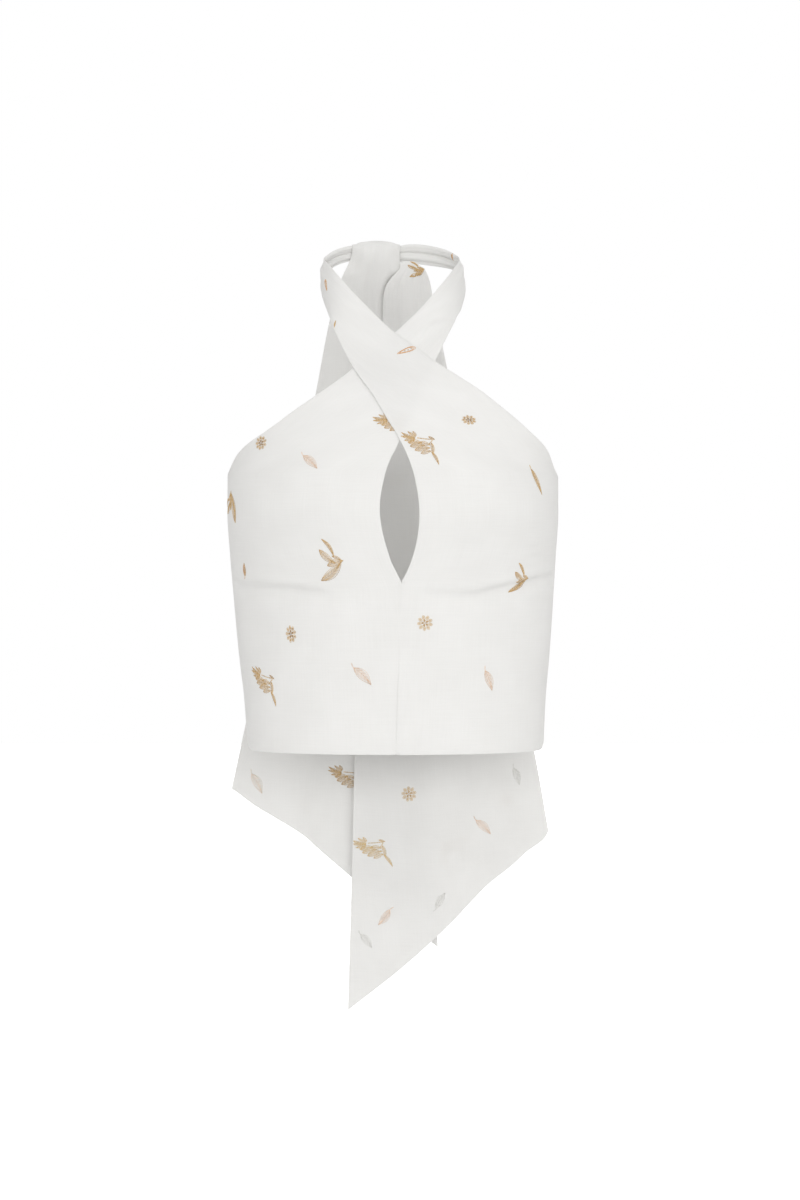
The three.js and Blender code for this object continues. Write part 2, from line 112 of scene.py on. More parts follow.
RIGHT_FRONT = table(
    "in_x in_z out_x out_z corner",
    (0.6, -131.5, -SIDE, -131.5, ""),
    (2.1, -85, -SIDE, -85, ""),
    (3.4, -40, -SIDE, -40, ""),
    (4.6, -5, -SIDE, -5, ""),
    (5.2, 14.5, -SIDE, 16, "in"),
    (-1.1, 27, -SIDE, 33, ""),
    (-6.8, 42, -SIDE, 50, ""),
    (-11.1, 58, -SIDE, 67, ""),
    (-13.2, 75.5, -SIDE, 83, ""),
    (-11.7, 92, -SIDE, 97, ""),
    (-7.7, 109, -SIDE, 107, "out"),
    (-2.3, 122.5, -145.5, 114, ""),
    (4, 136, -134.5, 129, ""),
    (9.1, 147.5, -109.7, 145.3, ""),
    (14.1, 159, -87.5, 160.8, ""),
    (20.1, 172, -65, 176, ""),
    (27, 188, -41.2, 193.5, ""),
    (33, 202.5, -21.7, 210.4, ""),
    (39.1, 216, -2.9, 227.5, ""),
    (45.3, 229.5, 12.6, 243, ""),
)
STRAP_COLUMNS = "low_x low_y low_z high_x high_y high_z crown gather"
LEFT_STRAP = table(
    STRAP_COLUMNS,
    (-60.5, -37, 252.5, -39.5, -48, 270, 4, 0),
    (-64.5, -12, 265, -51, -38, 284, 4.5, 0.2),
    (-65.8, 10, 277.5, -60.5, -18, 297, 3.5, 0.6),
    (-64, 27, 289.5, -64.2, 5, 304, 2, 1),
    (-59.5, 41, 300, -61, 28, 311, 1, 1.2),
    (-53, 52, 306, -55.5, 45, 317.5, 0.5, 1.2),
    (-47, 61.5, 309.5, -48.5, 59.5, 322.5, 0.3, 1.2),
    (-40.5, 65, 311.5, -40.5, 64.5, 325, 0.2, 1.2),
    (-35.5, 66, 312, -35.5, 66, 324.6, 0.2, 1),
)
RIGHT_STRAP = table(
    STRAP_COLUMNS,
    (56, -38, 250, 26, -54, 256.5, 4, 0),
    (60.3, -12, 264, 38, -46, 272, 4.5, 0.2),
    (62, 10, 277, 49, -24, 288, 3.5, 0.6),
    (60, 28, 289, 57, 5, 303, 2, 1),
    (53.5, 42, 299, 54, 28, 311, 1, 1.4),
    (43, 54, 304, 44, 48, 319, 0.5, 1.5),
    (28, 63, 307.5, 28, 62, 325, 0.3, 1.5),
    (14, 68, 310, 14, 67, 326.6, 0.2, 1.4),
    (4.4, 69, 311, 4.4, 69, 325.6, 0.2, 1.2),
    (-1, 69.5, 312, -1, 69.5, 324.6, 0.2, 1),
)
# The mesh's steps: along a front between its rows, along a strap, across a front, and over the back
CHEST_STEPS, STRAP_STEPS, FRONT_ACROSS = 8, 9, 72
BACK_STEPS = (70, 150)
KEYHOLE_FOOT_ROW, SIDE_TOP_ROW = 4, 10
WRAP = {"x0": -40.0, "x1": 4.0, "low": 304.5, "high": 328.4, "y0": 58.0, "y1": 84.0, "power": 3.0,
        "shoulder": 12.0, "left_strap": 65.5, "right_strap": 67.4, "flat": 0.3, "strap_height": 317.8,
        "low_end": 0.86}

HANG = table(
    "height depth",
    (312, 61), (304, 62.2), (280, 68.5), (250, 77.5), (190, 90), (110, 99), (0, 102), (-130, 104),
    (-400, 101),
)
TIE_BACK = {"head": 6.5, "hung": 9, "from": 304, "to": 270}
TIE_ROUND = {"half": 150, "forward": 11}
# The right tie end runs on up over the face of the wrap, and comes down and back from it under the left one
OVER_WRAP = table(
    "height depth",
    (329.6, 69), (328.6, 64), (326, 60), (322, 57.8), (315.75, 56.9), (309.5, 57.8), (304, 60.2),
    (290, 67.6), (275, 75.4), (256, 84.6),
)
OVER = {"from": 256, "under": 297, "beside": 304, "fade": 9.0}
LEFT_TIE = {
    "behind": False,
    "left": table(
        "height x",
        (310, 4.4), (305, 4.2), (300.5, 0.8), (296.5, -3.4), (288.2, -8.9), (280, -10.9), (263, -11.6),
        (-140, -38), (-258, -41), (-384, -44.6),
    ),
    "right": table(
        "height x",
        (310, 21), (303, 27), (292.4, 31.2), (280, 33.6), (214, 47.6), (-142, 129.3), (-220, 143),
    ),
    "top": table("across height", (0, 308.8), (0.2, 309.9), (0.5, 310.5), (0.8, 309.4), (1, 304)),
    "bottom": table(
        "across height",
        (0, -383.4), (0.25, -346), (0.5, -303), (0.7, -264.5), (0.81, -248), (0.89, -234),
            (0.975, -222), (1, -215),
    ),
    "folds": {"count": 1.6, "phase": 1.1, "top": 1.8, "bottom": 1.6},
}
RIGHT_TIE = {
    "behind": True,
    "left": table(
        "height x",
        (329.5, -37.5), (325, -38.6), (317, -39.8), (309, -43), (300, -47.5), (292, -51.5), (260, -61),
        (191, -75),
        (-114, -140), (-176, -153.4),
    ),
    "right": table("height x", (326, 2), (305, 4), (260, 9), (-326, 39.6)),
    "top": table("across height", (0, 325.2), (0.15, 327.6), (0.55, 329.3), (0.85, 327.6), (1, 325.8)),
    "bottom": table(
        "across height",
        (0, -176.5), (0.02, -179), (0.118, -192.8), (0.244, -206.9), (0.358, -221), (0.437, -235),
        (0.58, -258.6), (1, -326),
    ),
    "folds": {"count": 2.4, "phase": 0.4, "top": 2, "bottom": 1.8},
}

# Creases drawn in the front view: each a line of points with its depth there, or its height where it
# is negative, then the width above and below the line and the height of the soft lip above it
CREASES = {
    "front_right": [
        {"line": [(-141.5, 16, 1.6), (-133, 12.2, 2.2), (-104, 10, 3.0), (-83, 8.4, 3.2), (-66, 6.4, 1.8),
                  (-52, 4.5, 0)], "above": 2.8, "below": 7, "lip": 0.8},
        {"line": [(22, 236, 0), (34, 243, 1.1), (50, 246, 1.3), (60, 246, 0.6)], "above": 4, "below": 3,
         "lip": 0.7},
        {"line": [(27, 236, 0.2), (25, 228, 0.8), (20, 214, 0)], "above": 3, "below": 3.5, "lip": 0.4},
        {"line": [(43, 238, 0.2), (40, 230, 0.9), (37, 224, 0)], "above": 3, "below": 3.5, "lip": 0.4},
        {"line": [(-128, 108, 0), (-104, 92, 0.8), (-86, 84, 0)], "above": 9, "below": 9, "lip": 0},
        {"line": [(-128, 0, 0), (-118, -20, 1.1), (-104, -44, 0)], "above": 12, "below": 12, "lip": 0},
        {"line": [(-75, 80, 0), (-52, 78, -1), (-30, 76, 0)], "above": 10, "below": 10, "lip": 0},
        {"line": [(-50, 0, 0), (-46, -14, -1.1), (-44, -32, 0)], "above": 11, "below": 11, "lip": 0},
        {"line": [(-64, -58, 0), (-60, -86, -1.3), (-58, -114, 0)], "above": 12, "below": 12, "lip": 0},
        {"line": [(-30, -16, 0), (-22, -60, 0.7), (-26, -118, 0.3)], "above": 8, "below": 8, "lip": 0},
        {"line": [(-104, -70, 0), (-96, -96, 0.9), (-98, -122, 0.4)], "above": 9, "below": 9, "lip": 0},
    ],
    "front_left": [
        {"line": [(12, 8, 0), (35, 4.4, 1.2), (67, 4, 2.5), (85, 8.3, 3.4), (112, 14.4, 3.2),
                  (136, 20.8, 2.0)], "above": 2.8, "below": 7, "lip": 0.8},
        {"line": [(104, 2, 0), (120, 6, -1), (134, 9, -0.8)], "above": 6, "below": 6, "lip": 0},
        {"line": [(106, 40, 0), (118, 44, 0.9), (131, 48, 0)], "above": 3.5, "below": 4, "lip": 0.3},
        {"line": [(109, 34, 0), (121, 37, 0.8), (133, 42, 0)], "above": 3, "below": 4, "lip": 0.3},
        {"line": [(26, 174, 0), (58, 156, 1.3), (94, 134, 1.5), (122, 112, 0.6)], "above": 11, "below": 13,
         "lip": 0},
        {"line": [(92, -4, 0), (108, -30, 1.1), (120, -60, 0)], "above": 13, "below": 13, "lip": 0},
        {"line": [(44, 73, 0), (62, 68, -1), (80, 64, 0)], "above": 11, "below": 11, "lip": 0},
        {"line": [(34, -10, 0), (30, -60, 0.9), (33, -122, 0.6)], "above": 9, "below": 10, "lip": 0},
        {"line": [(74, -84, 0), (82, -104, -0.9), (80, -124, -0.3)], "above": 11, "below": 11, "lip": 0},
    ],
}


def read(rows, by, column, at):
    """Reads a table at a value of one column, on smooth curves that never overshoot its rows."""
    if rows[0][by] > rows[-1][by]:
        rows = rows[::-1]
    last = len(rows) - 1
    value = min(max(at, rows[0][by]), rows[last][by])
    i = 0
    while i < last - 1 and value > rows[i + 1][by]:
        i += 1

    def slope(k):
        return (rows[k + 1][column] - rows[k][column]) / (rows[k + 1][by] - rows[k][by])

    def tangent(k):
        if k == 0:
            return slope(0)
        if k == last:
            return slope(last - 1)
        before, after = slope(k - 1), slope(k)
        return 0.0 if before * after <= 0 else 2 * before * after / (before + after)

    span = rows[i + 1][by] - rows[i][by]
    t = (value - rows[i][by]) / span
    rise = rows[i + 1][column] - rows[i][column]
    m0, m1 = tangent(i) * span, tangent(i + 1) * span
    return rows[i][column] + t * m0 + t * t * (3 * rise - 2 * m0 - m1) + t**3 * (m0 + m1 - 2 * rise)


def along(rows, column, at):
    """A smooth curve through one column of numbered rows, with a corner where a row names this end."""
    last = len(rows) - 1
    i = min(int(at), last - 1)
    t = at - i

    def v(k):
        return rows[min(max(k, 0), last)][column]

    def sharp(k):
        corner = rows[k].get("corner")
        return bool(corner) and column.startswith(corner)

    rise = v(i + 1) - v(i)
    m0 = rise if sharp(i) else (v(i + 1) - v(i - 1)) / 2
    m1 = rise if sharp(i + 1) else (v(i + 2) - v(i)) / 2
    return v(i) + t * m0 + t * t * (3 * rise - 2 * m0 - m1) + t**3 * (m0 + m1 - 2 * rise)


def signed_power(value, p):
    return math.copysign(abs(value) ** p, value)


def clamp01(t):
    return min(max(t, 0.0), 1.0)


def smooth(t):
    t = clamp01(t)
    return t * t * (3 - 2 * t)


def mix(a, b, t):
    return a + (b - a) * t


def on_figure(turn, height):
    """A point of the figure. turn is 0 at the centre front and a quarter turn at the left side seam."""
    half = read(FIGURE, "height", "half", height)
    p = 2 / read(FIGURE, "height", "power", height)
    shift = read(FIGURE, "height", "shift", height)
    front = math.cos(turn) > 0
    deep = read(FIGURE, "height", "front" if front else "back", height)
    x = shift + half * signed_power(math.sin(turn), p)
    y = -deep * signed_power(math.cos(turn), p)
    if front:
        across = (abs(x) - BUST["x"]) / BUST["width"]
        up = (height - BUST["height"]) / BUST["tall"]
        y -= BUST["swell"] * math.exp(-across * across - up * up) * smooth(math.cos(turn) * 2.5)
    return np.array([x, y, height])


def turn_at(x, height):
    """How far round the figure a point seen from the front lies."""
    if abs(x) >= SIDE:
        return math.copysign(math.pi / 2, x)
    half = read(FIGURE, "height", "half", height)
    shift = read(FIGURE, "height", "shift", height)
    share = min(abs(x - shift) / half, 1.0)
    return math.copysign(math.asin(share ** (read(FIGURE, "height", "power", height) / 2)), x - shift)


def hem_curved(grid):
    """Rounds the hem up a little towards the side seams."""
    down = np.linspace(1, 0, len(grid))[:, None]
    for column in (0, -1):
        if abs(grid[0, column, 0]) < FIGURE[0]["half"] - 10:
            continue
        far = np.linalg.norm(grid[0] - grid[0, column], axis=1)
        rise = HEM_CORNER["rise"] * np.exp(-((far / HEM_CORNER["reach"]) ** 2))
        grid[:, :, 2] += rise[None, :] * np.clip((down - 0.75) * 4, 0, 1)
    return grid


def lifted(point):
    """The upper strap rides over the lower one inside a diamond round the crossing."""
    far = abs(point[0] - CROSSING["x"]) / CROSSING["half_width"]
    far += abs(point[2] - CROSSING["height"]) / CROSSING["half_height"]
    rise = CROSSING["lift"] * (1 - smooth((far - 1.12) / CROSSING["fade"]))
    return point + np.array([0, -rise, rise * 0.3])


def broad_wave(x, z, seed):
    """Very soft, uneven swells of the cloth, in millimetres."""
    total = 0.0
    for k, (fx, fz, size) in enumerate(((0.021, 0.034, 0.32), (0.047, -0.018, 0.22), (-0.031, 0.061, 0.16),
                                        (0.083, 0.029, 0.08))):
        total += size * math.sin(fx * x + fz * z + seed * 1.7 + k * 2.1)
    return total


def crease_relief(creases, x, z):
    """How far the creases push a point of the cloth out, seen from the front."""
    total = 0.0
    for crease in creases:
        best = None
        line = crease["line"]
        for (xa, za, da), (xb, zb, db) in zip(line, line[1:]):
            dx, dz = xb - xa, zb - za
            length = math.hypot(dx, dz)
            t = clamp01(((x - xa) * dx + (z - za) * dz) / (length * length))
            ox, oz = x - xa - t * dx, z - za - t * dz
            far = math.hypot(ox, oz)
            if best is None or far < best[0]:
                sign = 1 if dx * oz - dz * ox >= 0 else -1
                if dx < 0:
                    sign = -sign
                best = (far, sign, mix(da, db, smooth(t)))
        far, sign, deep = best
        wide = crease["above"] if sign > 0 else crease["below"]
        total -= deep * math.exp(-((far / wide) ** 2))
        if sign > 0 and crease["lip"] and deep > 0:
            peak = deep / max(point[2] for point in line)
            total += crease["lip"] * peak * math.exp(-(((far - 2.2 * wide) / (1.6 * wide)) ** 2)) * smooth(
                far / wide)
    return total


def front_grid(chest, strap, over, chest_steps, strap_steps, across):
    """The outer face of one front panel with its strap, a row for each line from the hem to the wrap."""
    sign = 1 if over else -1
    turned = [
        {"in_turn": turn_at(r["in_x"], r["in_z"]), "out_turn": turn_at(r["out_x"], r["out_z"]),
         "in_z": r["in_z"], "out_z": r["out_z"], "corner": r["corner"]}
        for r in chest
    ]
    shares = np.linspace(0, 1, across + 1)

    def chest_row(at):
        ends = [along(turned, c, at) for c in ("in_turn", "out_turn", "in_z", "out_z")]
        points = []
        for t in shares:
            p = on_figure(mix(ends[0], ends[1], t), mix(ends[2], ends[3], t))
            points.append(lifted(p) if over else p)
        return np.array(points)

    rows = [chest_row(k / chest_steps) for k in range((len(chest) - 1) * chest_steps + 1)]
    chest_rows = len(rows)

    def as_strap(row):
        low, high = row[0], row[-1]
        middle = row[len(row) // 2]
        crown = float(np.linalg.norm(middle - (low + high) / 2))
        return dict(zip(STRAP_COLUMNS.split(), (*low, *high, crown, 0.0)))

    full = [as_strap(rows[-1 - chest_steps]), as_strap(rows[-1]), *strap]

    def edges(at):
        at = min(max(at, 0), len(full) - 1)
        low = np.array([along(full, "low_" + c, at) for c in "xyz"])
        high = np.array([along(full, "high_" + c, at) for c in "xyz"])
        return low, high

    rest = rows[-1] - (rows[-1][0] + np.outer(shares, rows[-1][-1] - rows[-1][0]))
    steps = len(strap) * strap_steps
    for k in range(1, steps + 1):
        at = 1 + k / strap_steps
        low, high = edges(at)
        next_low, next_high = edges(at + 0.05)
        back_low, back_high = edges(at - 0.05)
        forward = next_low + next_high - back_low - back_high
        out = np.cross(high - low, forward) * sign
        if k == steps:
            out[0] = 0
        out /= np.linalg.norm(out)
        crown, gather = along(full, "crown", at), along(full, "gather", at)
        fresh = smooth(k / strap_steps)
        rows.append(np.array([
            low + (high - low) * t + rest[j] * (1 - fresh)
            + out * (crown * 4 * t * (1 - t) * fresh + gather * gather_wave(t, at, over))
            for j, t in enumerate(shares)
        ]))
    return np.array(rows), chest_rows


def gather_wave(t, at, over):
    """Lengthwise gathers across a strap: the two main ones, and finer ones that wander."""
    main = 0.66 * math.sin(2 * math.pi * 2 * t + 0.6)
    finer = 0.24 * math.sin(2 * math.pi * 4.6 * t + 0.35 * at + (1.3 if over else 0.2))
    return main + finer


def back_grid(down, round_):
    """The back panel, from side seam to side seam, with its top edge dipping to the centre back."""
    rows = []
    for i in range(down + 1):
        v = i / down
        points = []
        for j in range(round_ + 1):
            u = j / round_
            away = abs(2 * u - 1) ** BACK_DIP["shoulder"]
            top = mix(BACK_DIP["centre"], SIDE_TOP, away)
            p = on_figure(math.pi / 2 + math.pi * u, mix(HEM_HEIGHT, top, v))
            points.append(p)
        rows.append(points)
    return np.array(rows)


def shouldered(x, y):
    """The depth of a face of the wrap, which narrows towards the strap at each end."""
    middle = (WRAP["x0"] + WRAP["x1"]) / 2
    strap = WRAP["left_strap"] if x < middle else WRAP["right_strap"]
    narrow = 1 - smooth(min(x - WRAP["x0"], WRAP["x1"] - x) / WRAP["shoulder"])
    return mix(y, strap + (y - (WRAP["y0"] + WRAP["y1"]) / 2) * WRAP["flat"], narrow), narrow


def over_wrap(x, z, y):
    """The depth of the right tie end where it lies over the wrap and comes down from it."""
    if z <= OVER["from"]:
        return y
    over = read(OVER_WRAP, "height", "depth", z)
    over = max(over, shouldered(x, over)[0])
    edge = read(LEFT_TIE["left"], "height", "x", z)
    beside = smooth((z - OVER["under"]) / (OVER["beside"] - OVER["under"]))
    share = mix(smooth((edge + 2 - x) / OVER["fade"]), 1, beside)
    return mix(y, over, share)


def tie_grid(tie, down, across):
    """One tie end, from its gathered head under the wrap to its slanted hem."""
    rows = []
    folds = tie["folds"]
    for i in range(down + 1):
        v = (i / down) ** 1.35
        points = []
        for j in range(across + 1):
            u = j / across
            top = read(tie["top"], "across", "height", u)
            z = mix(top, read(tie["bottom"], "across", "height", u), v)
            x = mix(read(tie["left"], "height", "x", z), read(tie["right"], "height", "x", z), u)
            deep = mix(folds["top"], folds["bottom"], v) * smooth(v * 8)
            wave = deep * math.sin(2 * math.pi * folds["count"] * u + folds["phase"])
            head = 0.3 * math.exp(-v * 9) * math.sin(2 * math.pi * 6.2 * u + folds["phase"] * 3)
            long_fold = 0.36 * math.exp(-v * 2.4) * math.sin(2 * math.pi * 3.7 * u + 1.9 + v)
            lowered = clamp01((TIE_BACK["from"] - z) / (TIE_BACK["from"] - TIE_BACK["to"]))
            behind = mix(TIE_BACK["head"], TIE_BACK["hung"], lowered) if tie["behind"] else 0
            round_ = TIE_ROUND["forward"] * (x / TIE_ROUND["half"]) ** 2
            y = read(HANG, "height", "depth", z) + behind - round_
            if tie["behind"]:
                y = over_wrap(x, z, y)
            y += wave + (head + long_fold) * smooth(v * 30)
            points.append((x, y, z))
        rows.append(points)
    return np.array(rows)


def cumulative(grid, axis):
    """Arc length along the rows or columns of a grid."""
    steps = np.linalg.norm(np.diff(grid, axis=axis), axis=2)
    pad = [(0, 0), (0, 0)]
    pad[axis] = (1, 0)
    return np.pad(np.cumsum(steps, axis=axis), pad)


def grid_normals(grid, facing):
    normal = np.cross(np.gradient(grid, axis=1), np.gradient(grid, axis=0)) * facing
    return normal / np.maximum(np.linalg.norm(normal, axis=2, keepdims=True), 1e-9)


def edge_profile(far, seam):
    """The relief beside an edge: a turned edge is a little thicker, a seam rolls in to a groove."""
    turned = 0.07 * np.clip(far / 0.9, 0, 1) * (1 - np.clip((far - 5.5) / 2.5, 0, 1))
    turned = turned - 0.36 * np.exp(-((far / 1.4) ** 2))
    groove = -0.02 * np.exp(-((far / 1.6) ** 2)) + 0.005 * np.exp(-(((far - 3.6) / 2.2) ** 2))
    return np.where(seam, groove, turned)


def edge_relief(grid, seam_low, seam_high, ends=(True, True)):
    """Raises turned edges and sinks seams along the four sides of a grid."""
    across = cumulative(grid, 1)
    down = cumulative(grid, 0)
    relief = edge_profile(across, seam_low[:, None])
    relief = relief + edge_profile(across[:, -1:] - across, seam_high[:, None])
    plain = np.zeros_like(down, bool)
    for free, far in ((ends[0], down), (ends[1], down[-1:] - down)):
        if free:
            edge = edge_profile(far, plain)
            relief = np.where((relief < 0) | (edge < 0), np.minimum(relief, edge), np.maximum(relief, edge))
    return relief


def eased(grid, at_row, reach, passes):
    """Smooths the rows near one row, so that two stretches of a grid join without a break."""
    rows = np.arange(len(grid))
    weight = np.clip(1 - np.abs(rows - at_row) / reach, 0, 1)
    weight = (weight * weight * (3 - 2 * weight))[1:-1, None, None]
    for _ in range(passes):
        mean = (grid[:-2] + 2 * grid[1:-1] + grid[2:]) / 4
        grid[1:-1] += (mean - grid[1:-1]) * weight
    return grid


def shell(node, grid, facing, relief, square_rim, held):
    """A closed cloth shell from the points of its outer face, with a rounded rim and the same edge
    relief on both faces. square_rim marks the points of the border at a seam, where the rim is flat."""
    m, n = grid.shape[:2]
    normal = grid_normals(grid, facing)
    thickness = bpy.context.scene.halter_cloth.thickness / MM
    inner = grid - normal * (thickness + relief[:, :, None])
    grid = grid + normal * relief[:, :, None]
    across, down = cumulative(grid, 1), cumulative(grid, 0)
    verts = [grid.reshape(-1, 3), inner.reshape(-1, 3)]
    texture = np.stack([across - across[:, -1:] / 2, down], axis=2).reshape(-1, 2) * MM
    uvs = [texture, texture]
    index = np.arange(m * n).reshape(m, n)
    faces = []
    first = facing > 0
    for i in range(m - 1):
        for j in range(n - 1):
            q = (index[i, j], index[i, j + 1], index[i + 1, j + 1], index[i + 1, j])
            faces.append(q if first else q[::-1])
            q = tuple(v + m * n for v in q)
            faces.append(q[::-1] if first else q)
    loop = [(0, j) for j in range(n)] + [(i, n - 1) for i in range(1, m)]
    loop += [(m - 1, j) for j in range(n - 2, -1, -1)] + [(i, 0) for i in range(m - 2, 0, -1)]
    d_row, d_col = np.gradient(grid, axis=0), np.gradient(grid, axis=1)
    rim_steps = 3
    rim = []
    base = 2 * m * n
    extra, extra_uv = [], []
    for i, j in loop:
        out = np.zeros(3)
        if i == 0:
            out -= d_row[i, j] / np.linalg.norm(d_row[i, j])
        if i == m - 1:
            out += d_row[i, j] / np.linalg.norm(d_row[i, j])
        if j == 0:
            out -= d_col[i, j] / np.linalg.norm(d_col[i, j])
        if j == n - 1:
            out += d_col[i, j] / np.linalg.norm(d_col[i, j])
        out -= normal[i, j] * out.dot(normal[i, j])
        out /= max(np.linalg.norm(out), 1e-9)
        bulge = 0.0 if square_rim[i, j] else 1.0
        middle = (grid[i, j] + inner[i, j]) / 2
        half = np.linalg.norm(grid[i, j] - inner[i, j]) / 2
        ring = [index[i, j]]
        for k in range(1, rim_steps + 1):
            angle = math.pi * k / (rim_steps + 1)
            p = middle + normal[i, j] * math.cos(angle) * half
            extra.append(p + out * math.sin(angle) * half * bulge)
            extra_uv.append(texture[index[i, j]])
            ring.append(base + len(extra) - 1)
        ring.append(index[i, j] + m * n)
        rim.append(ring)
    for a, b in zip(rim, rim[1:] + rim[:1]):
        for k in range(rim_steps + 1):
            q = (a[k], a[k + 1], b[k + 1], b[k])
            faces.append(q if first else q[::-1])
    verts.append(np.array(extra))
    uvs.append(np.array(extra_uv))
    obj = mesh_object(node + "_cloth", np.concatenate(verts), faces, np.concatenate(uvs))
    seam = np.zeros(len(obj.data.vertices), bool)
    seam[: m * n] = seam[m * n: 2 * m * n] = square_rim.ravel()
    ends = np.empty(2 * len(obj.data.edges), np.int32)
    obj.data.edges.foreach_get("vertices", ends)
    sharp = obj.data.attributes.new("sharp_edge", "BOOLEAN", "EDGE")
    sharp.data.foreach_set("value", seam[ends.reshape(-1, 2)].all(axis=1))
    obj.data.materials.append(cloth_of(bpy.context.scene))
    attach(obj, "root")
    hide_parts(node)
    CLOTH[node] = {"object": obj, "outer": grid, "inner": inner, "held": held}


def mesh_object(name, points, faces, uvs=None):
    """A smooth mesh object at the origin, from points on the figure in millimetres."""
    mesh = bpy.data.meshes.new(name)
    mesh.from_pydata(((np.asarray(points) - NAPE) * MM).tolist(), [], [tuple(map(int, f)) for f in faces])
    mesh.validate()
    mesh.polygons.foreach_set("use_smooth", [True] * len(mesh.polygons))
    if uvs is not None:
        layer = mesh.uv_layers.new(name="cloth")
        corners = np.empty(len(mesh.loops), dtype=np.int32)
        mesh.loops.foreach_get("vertex_index", corners)
        layer.data.foreach_set("uv", np.asarray(uvs)[corners].astype(np.float32).ravel())
    obj = bpy.data.objects.new(name, mesh)
    bpy.context.scene.collection.objects.link(obj)
    return obj


# Shader node groups
def new_group(name, inputs, outputs):
    group = bpy.data.node_groups.new(name, "ShaderNodeTree")
    for label, kind, default in inputs:
        socket = group.interface.new_socket(name=label, in_out="INPUT", socket_type=kind)
        if default is not None:
            socket.default_value = default
    for label, kind in outputs:
        group.interface.new_socket(name=label, in_out="OUTPUT", socket_type=kind)
    return group, group.nodes.new("NodeGroupInput"), group.nodes.new("NodeGroupOutput")


def math_node(tree, operation, a, b=None, c=None):
    node = tree.nodes.new("ShaderNodeMath")
    node.operation = operation
    for socket, value in zip(node.inputs, (a, b, c)):
        if value is None:
            continue
        if isinstance(value, (int, float)):
            socket.default_value = value
        else:
            tree.links.new(value, socket)
    return node.outputs[0]


def noise_node(tree, vector, scale, detail=2.0, stretch=(1, 1, 1)):
    mapping = tree.nodes.new("ShaderNodeMapping")
    mapping.inputs["Scale"].default_value = stretch
    tree.links.new(vector, mapping.inputs["Vector"])
    noise = tree.nodes.new("ShaderNodeTexNoise")
    noise.inputs["Scale"].default_value = scale
    noise.inputs["Detail"].default_value = detail
    tree.links.new(mapping.outputs[0], noise.inputs["Vector"])
    return noise.outputs["Fac"]


def ranged(tree, value, low, high, to_low=0.0, to_high=1.0):
    node = tree.nodes.new("ShaderNodeMapRange")
    node.inputs["From Min"].default_value = low
    node.inputs["From Max"].default_value = high
    node.inputs["To Min"].default_value = to_low
    node.inputs["To Max"].default_value = to_high
    tree.links.new(value, node.inputs["Value"])
    return node.outputs[0]


def slub_weave_group():
    """Plain weave with uneven slubbed threads: a mask of thicker threads and a height."""
    tree, put_in, put_out = new_group(
        "slub_weave",
        [("Vector", "NodeSocketVector", None), ("Threads per metre", "NodeSocketFloat", 1900.0)],
        [("Slub", "NodeSocketFloat"), ("Height", "NodeSocketFloat"), ("Cloud", "NodeSocketFloat")],
    )
    vector = put_in.outputs["Vector"]
    split = tree.nodes.new("ShaderNodeSeparateXYZ")
    tree.links.new(vector, split.inputs[0])
    turns = math_node(tree, "MULTIPLY", put_in.outputs["Threads per metre"], math.pi)
    warp = math_node(tree, "SINE", math_node(tree, "MULTIPLY", split.outputs[0], turns))
    weft = math_node(tree, "SINE", math_node(tree, "MULTIPLY", split.outputs[1], turns))
    over = math_node(tree, "MULTIPLY", warp, weft)
    long_slub = noise_node(tree, vector, 1.0, 3.0, (900, 26, 1))
    cross_slub = noise_node(tree, vector, 1.0, 3.0, (30, 1000, 1))
    slub = math_node(tree, "ADD", long_slub, cross_slub)
    cloud = noise_node(tree, vector, 22.0, 2.0)
    height = math_node(tree, "MULTIPLY_ADD", over, 0.35, slub)
    tree.links.new(ranged(tree, slub, 0.75, 1.3), put_out.inputs["Slub"])
    tree.links.new(height, put_out.inputs["Height"])
    tree.links.new(cloud, put_out.inputs["Cloud"])
    return tree


def cloth_material(name, group, colour, shade, translucent):
    """Matt slubbed cloth that lets a little light through."""
    material = bpy.data.materials.new(name)
    material.use_nodes = True
    tree = material.node_tree
    tree.nodes.clear()
    uv = tree.nodes.new("ShaderNodeUVMap")
    uv.uv_map = "cloth"
    weave = tree.nodes.new("ShaderNodeGroup")
    weave.node_tree = group
    tree.links.new(uv.outputs[0], weave.inputs["Vector"])
    tone = tree.nodes.new("ShaderNodeMix")
    tone.data_type = "RGBA"
    tone.inputs[6].default_value = (*shade, 1)
    tone.inputs[7].default_value = (*colour, 1)
    amount = math_node(tree, "MULTIPLY_ADD", weave.outputs["Slub"], 0.34,
                       ranged(tree, weave.outputs["Cloud"], 0.3, 0.7, 0.2, 0.6))
    tree.links.new(amount, tone.inputs[0])
    bump = tree.nodes.new("ShaderNodeBump")
    bump.inputs["Strength"].default_value = 0.35
    bump.inputs["Distance"].default_value = 0.00019
    tree.links.new(weave.outputs["Height"], bump.inputs["Height"])
    cloth = tree.nodes.new("ShaderNodeBsdfPrincipled")
    cloth.inputs["Roughness"].default_value = 0.92
    cloth.inputs["Specular IOR Level"].default_value = 0.12
    cloth.inputs["Sheen Weight"].default_value = 0.06
    cloth.inputs["Sheen Roughness"].default_value = 0.6
    tree.links.new(tone.outputs[2], cloth.inputs["Base Color"])
    tree.links.new(bump.outputs[0], cloth.inputs["Normal"])
    through = tree.nodes.new("ShaderNodeBsdfTranslucent")
    tree.links.new(tone.outputs[2], through.inputs["Color"])
    blend = tree.nodes.new("ShaderNodeMixShader")
    blend.inputs[0].default_value = translucent
    tree.links.new(cloth.outputs[0], blend.inputs[1])
    tree.links.new(through.outputs[0], blend.inputs[2])
    out = tree.nodes.new("ShaderNodeOutputMaterial")
    tree.links.new(blend.outputs[0], out.inputs["Surface"])
    return material


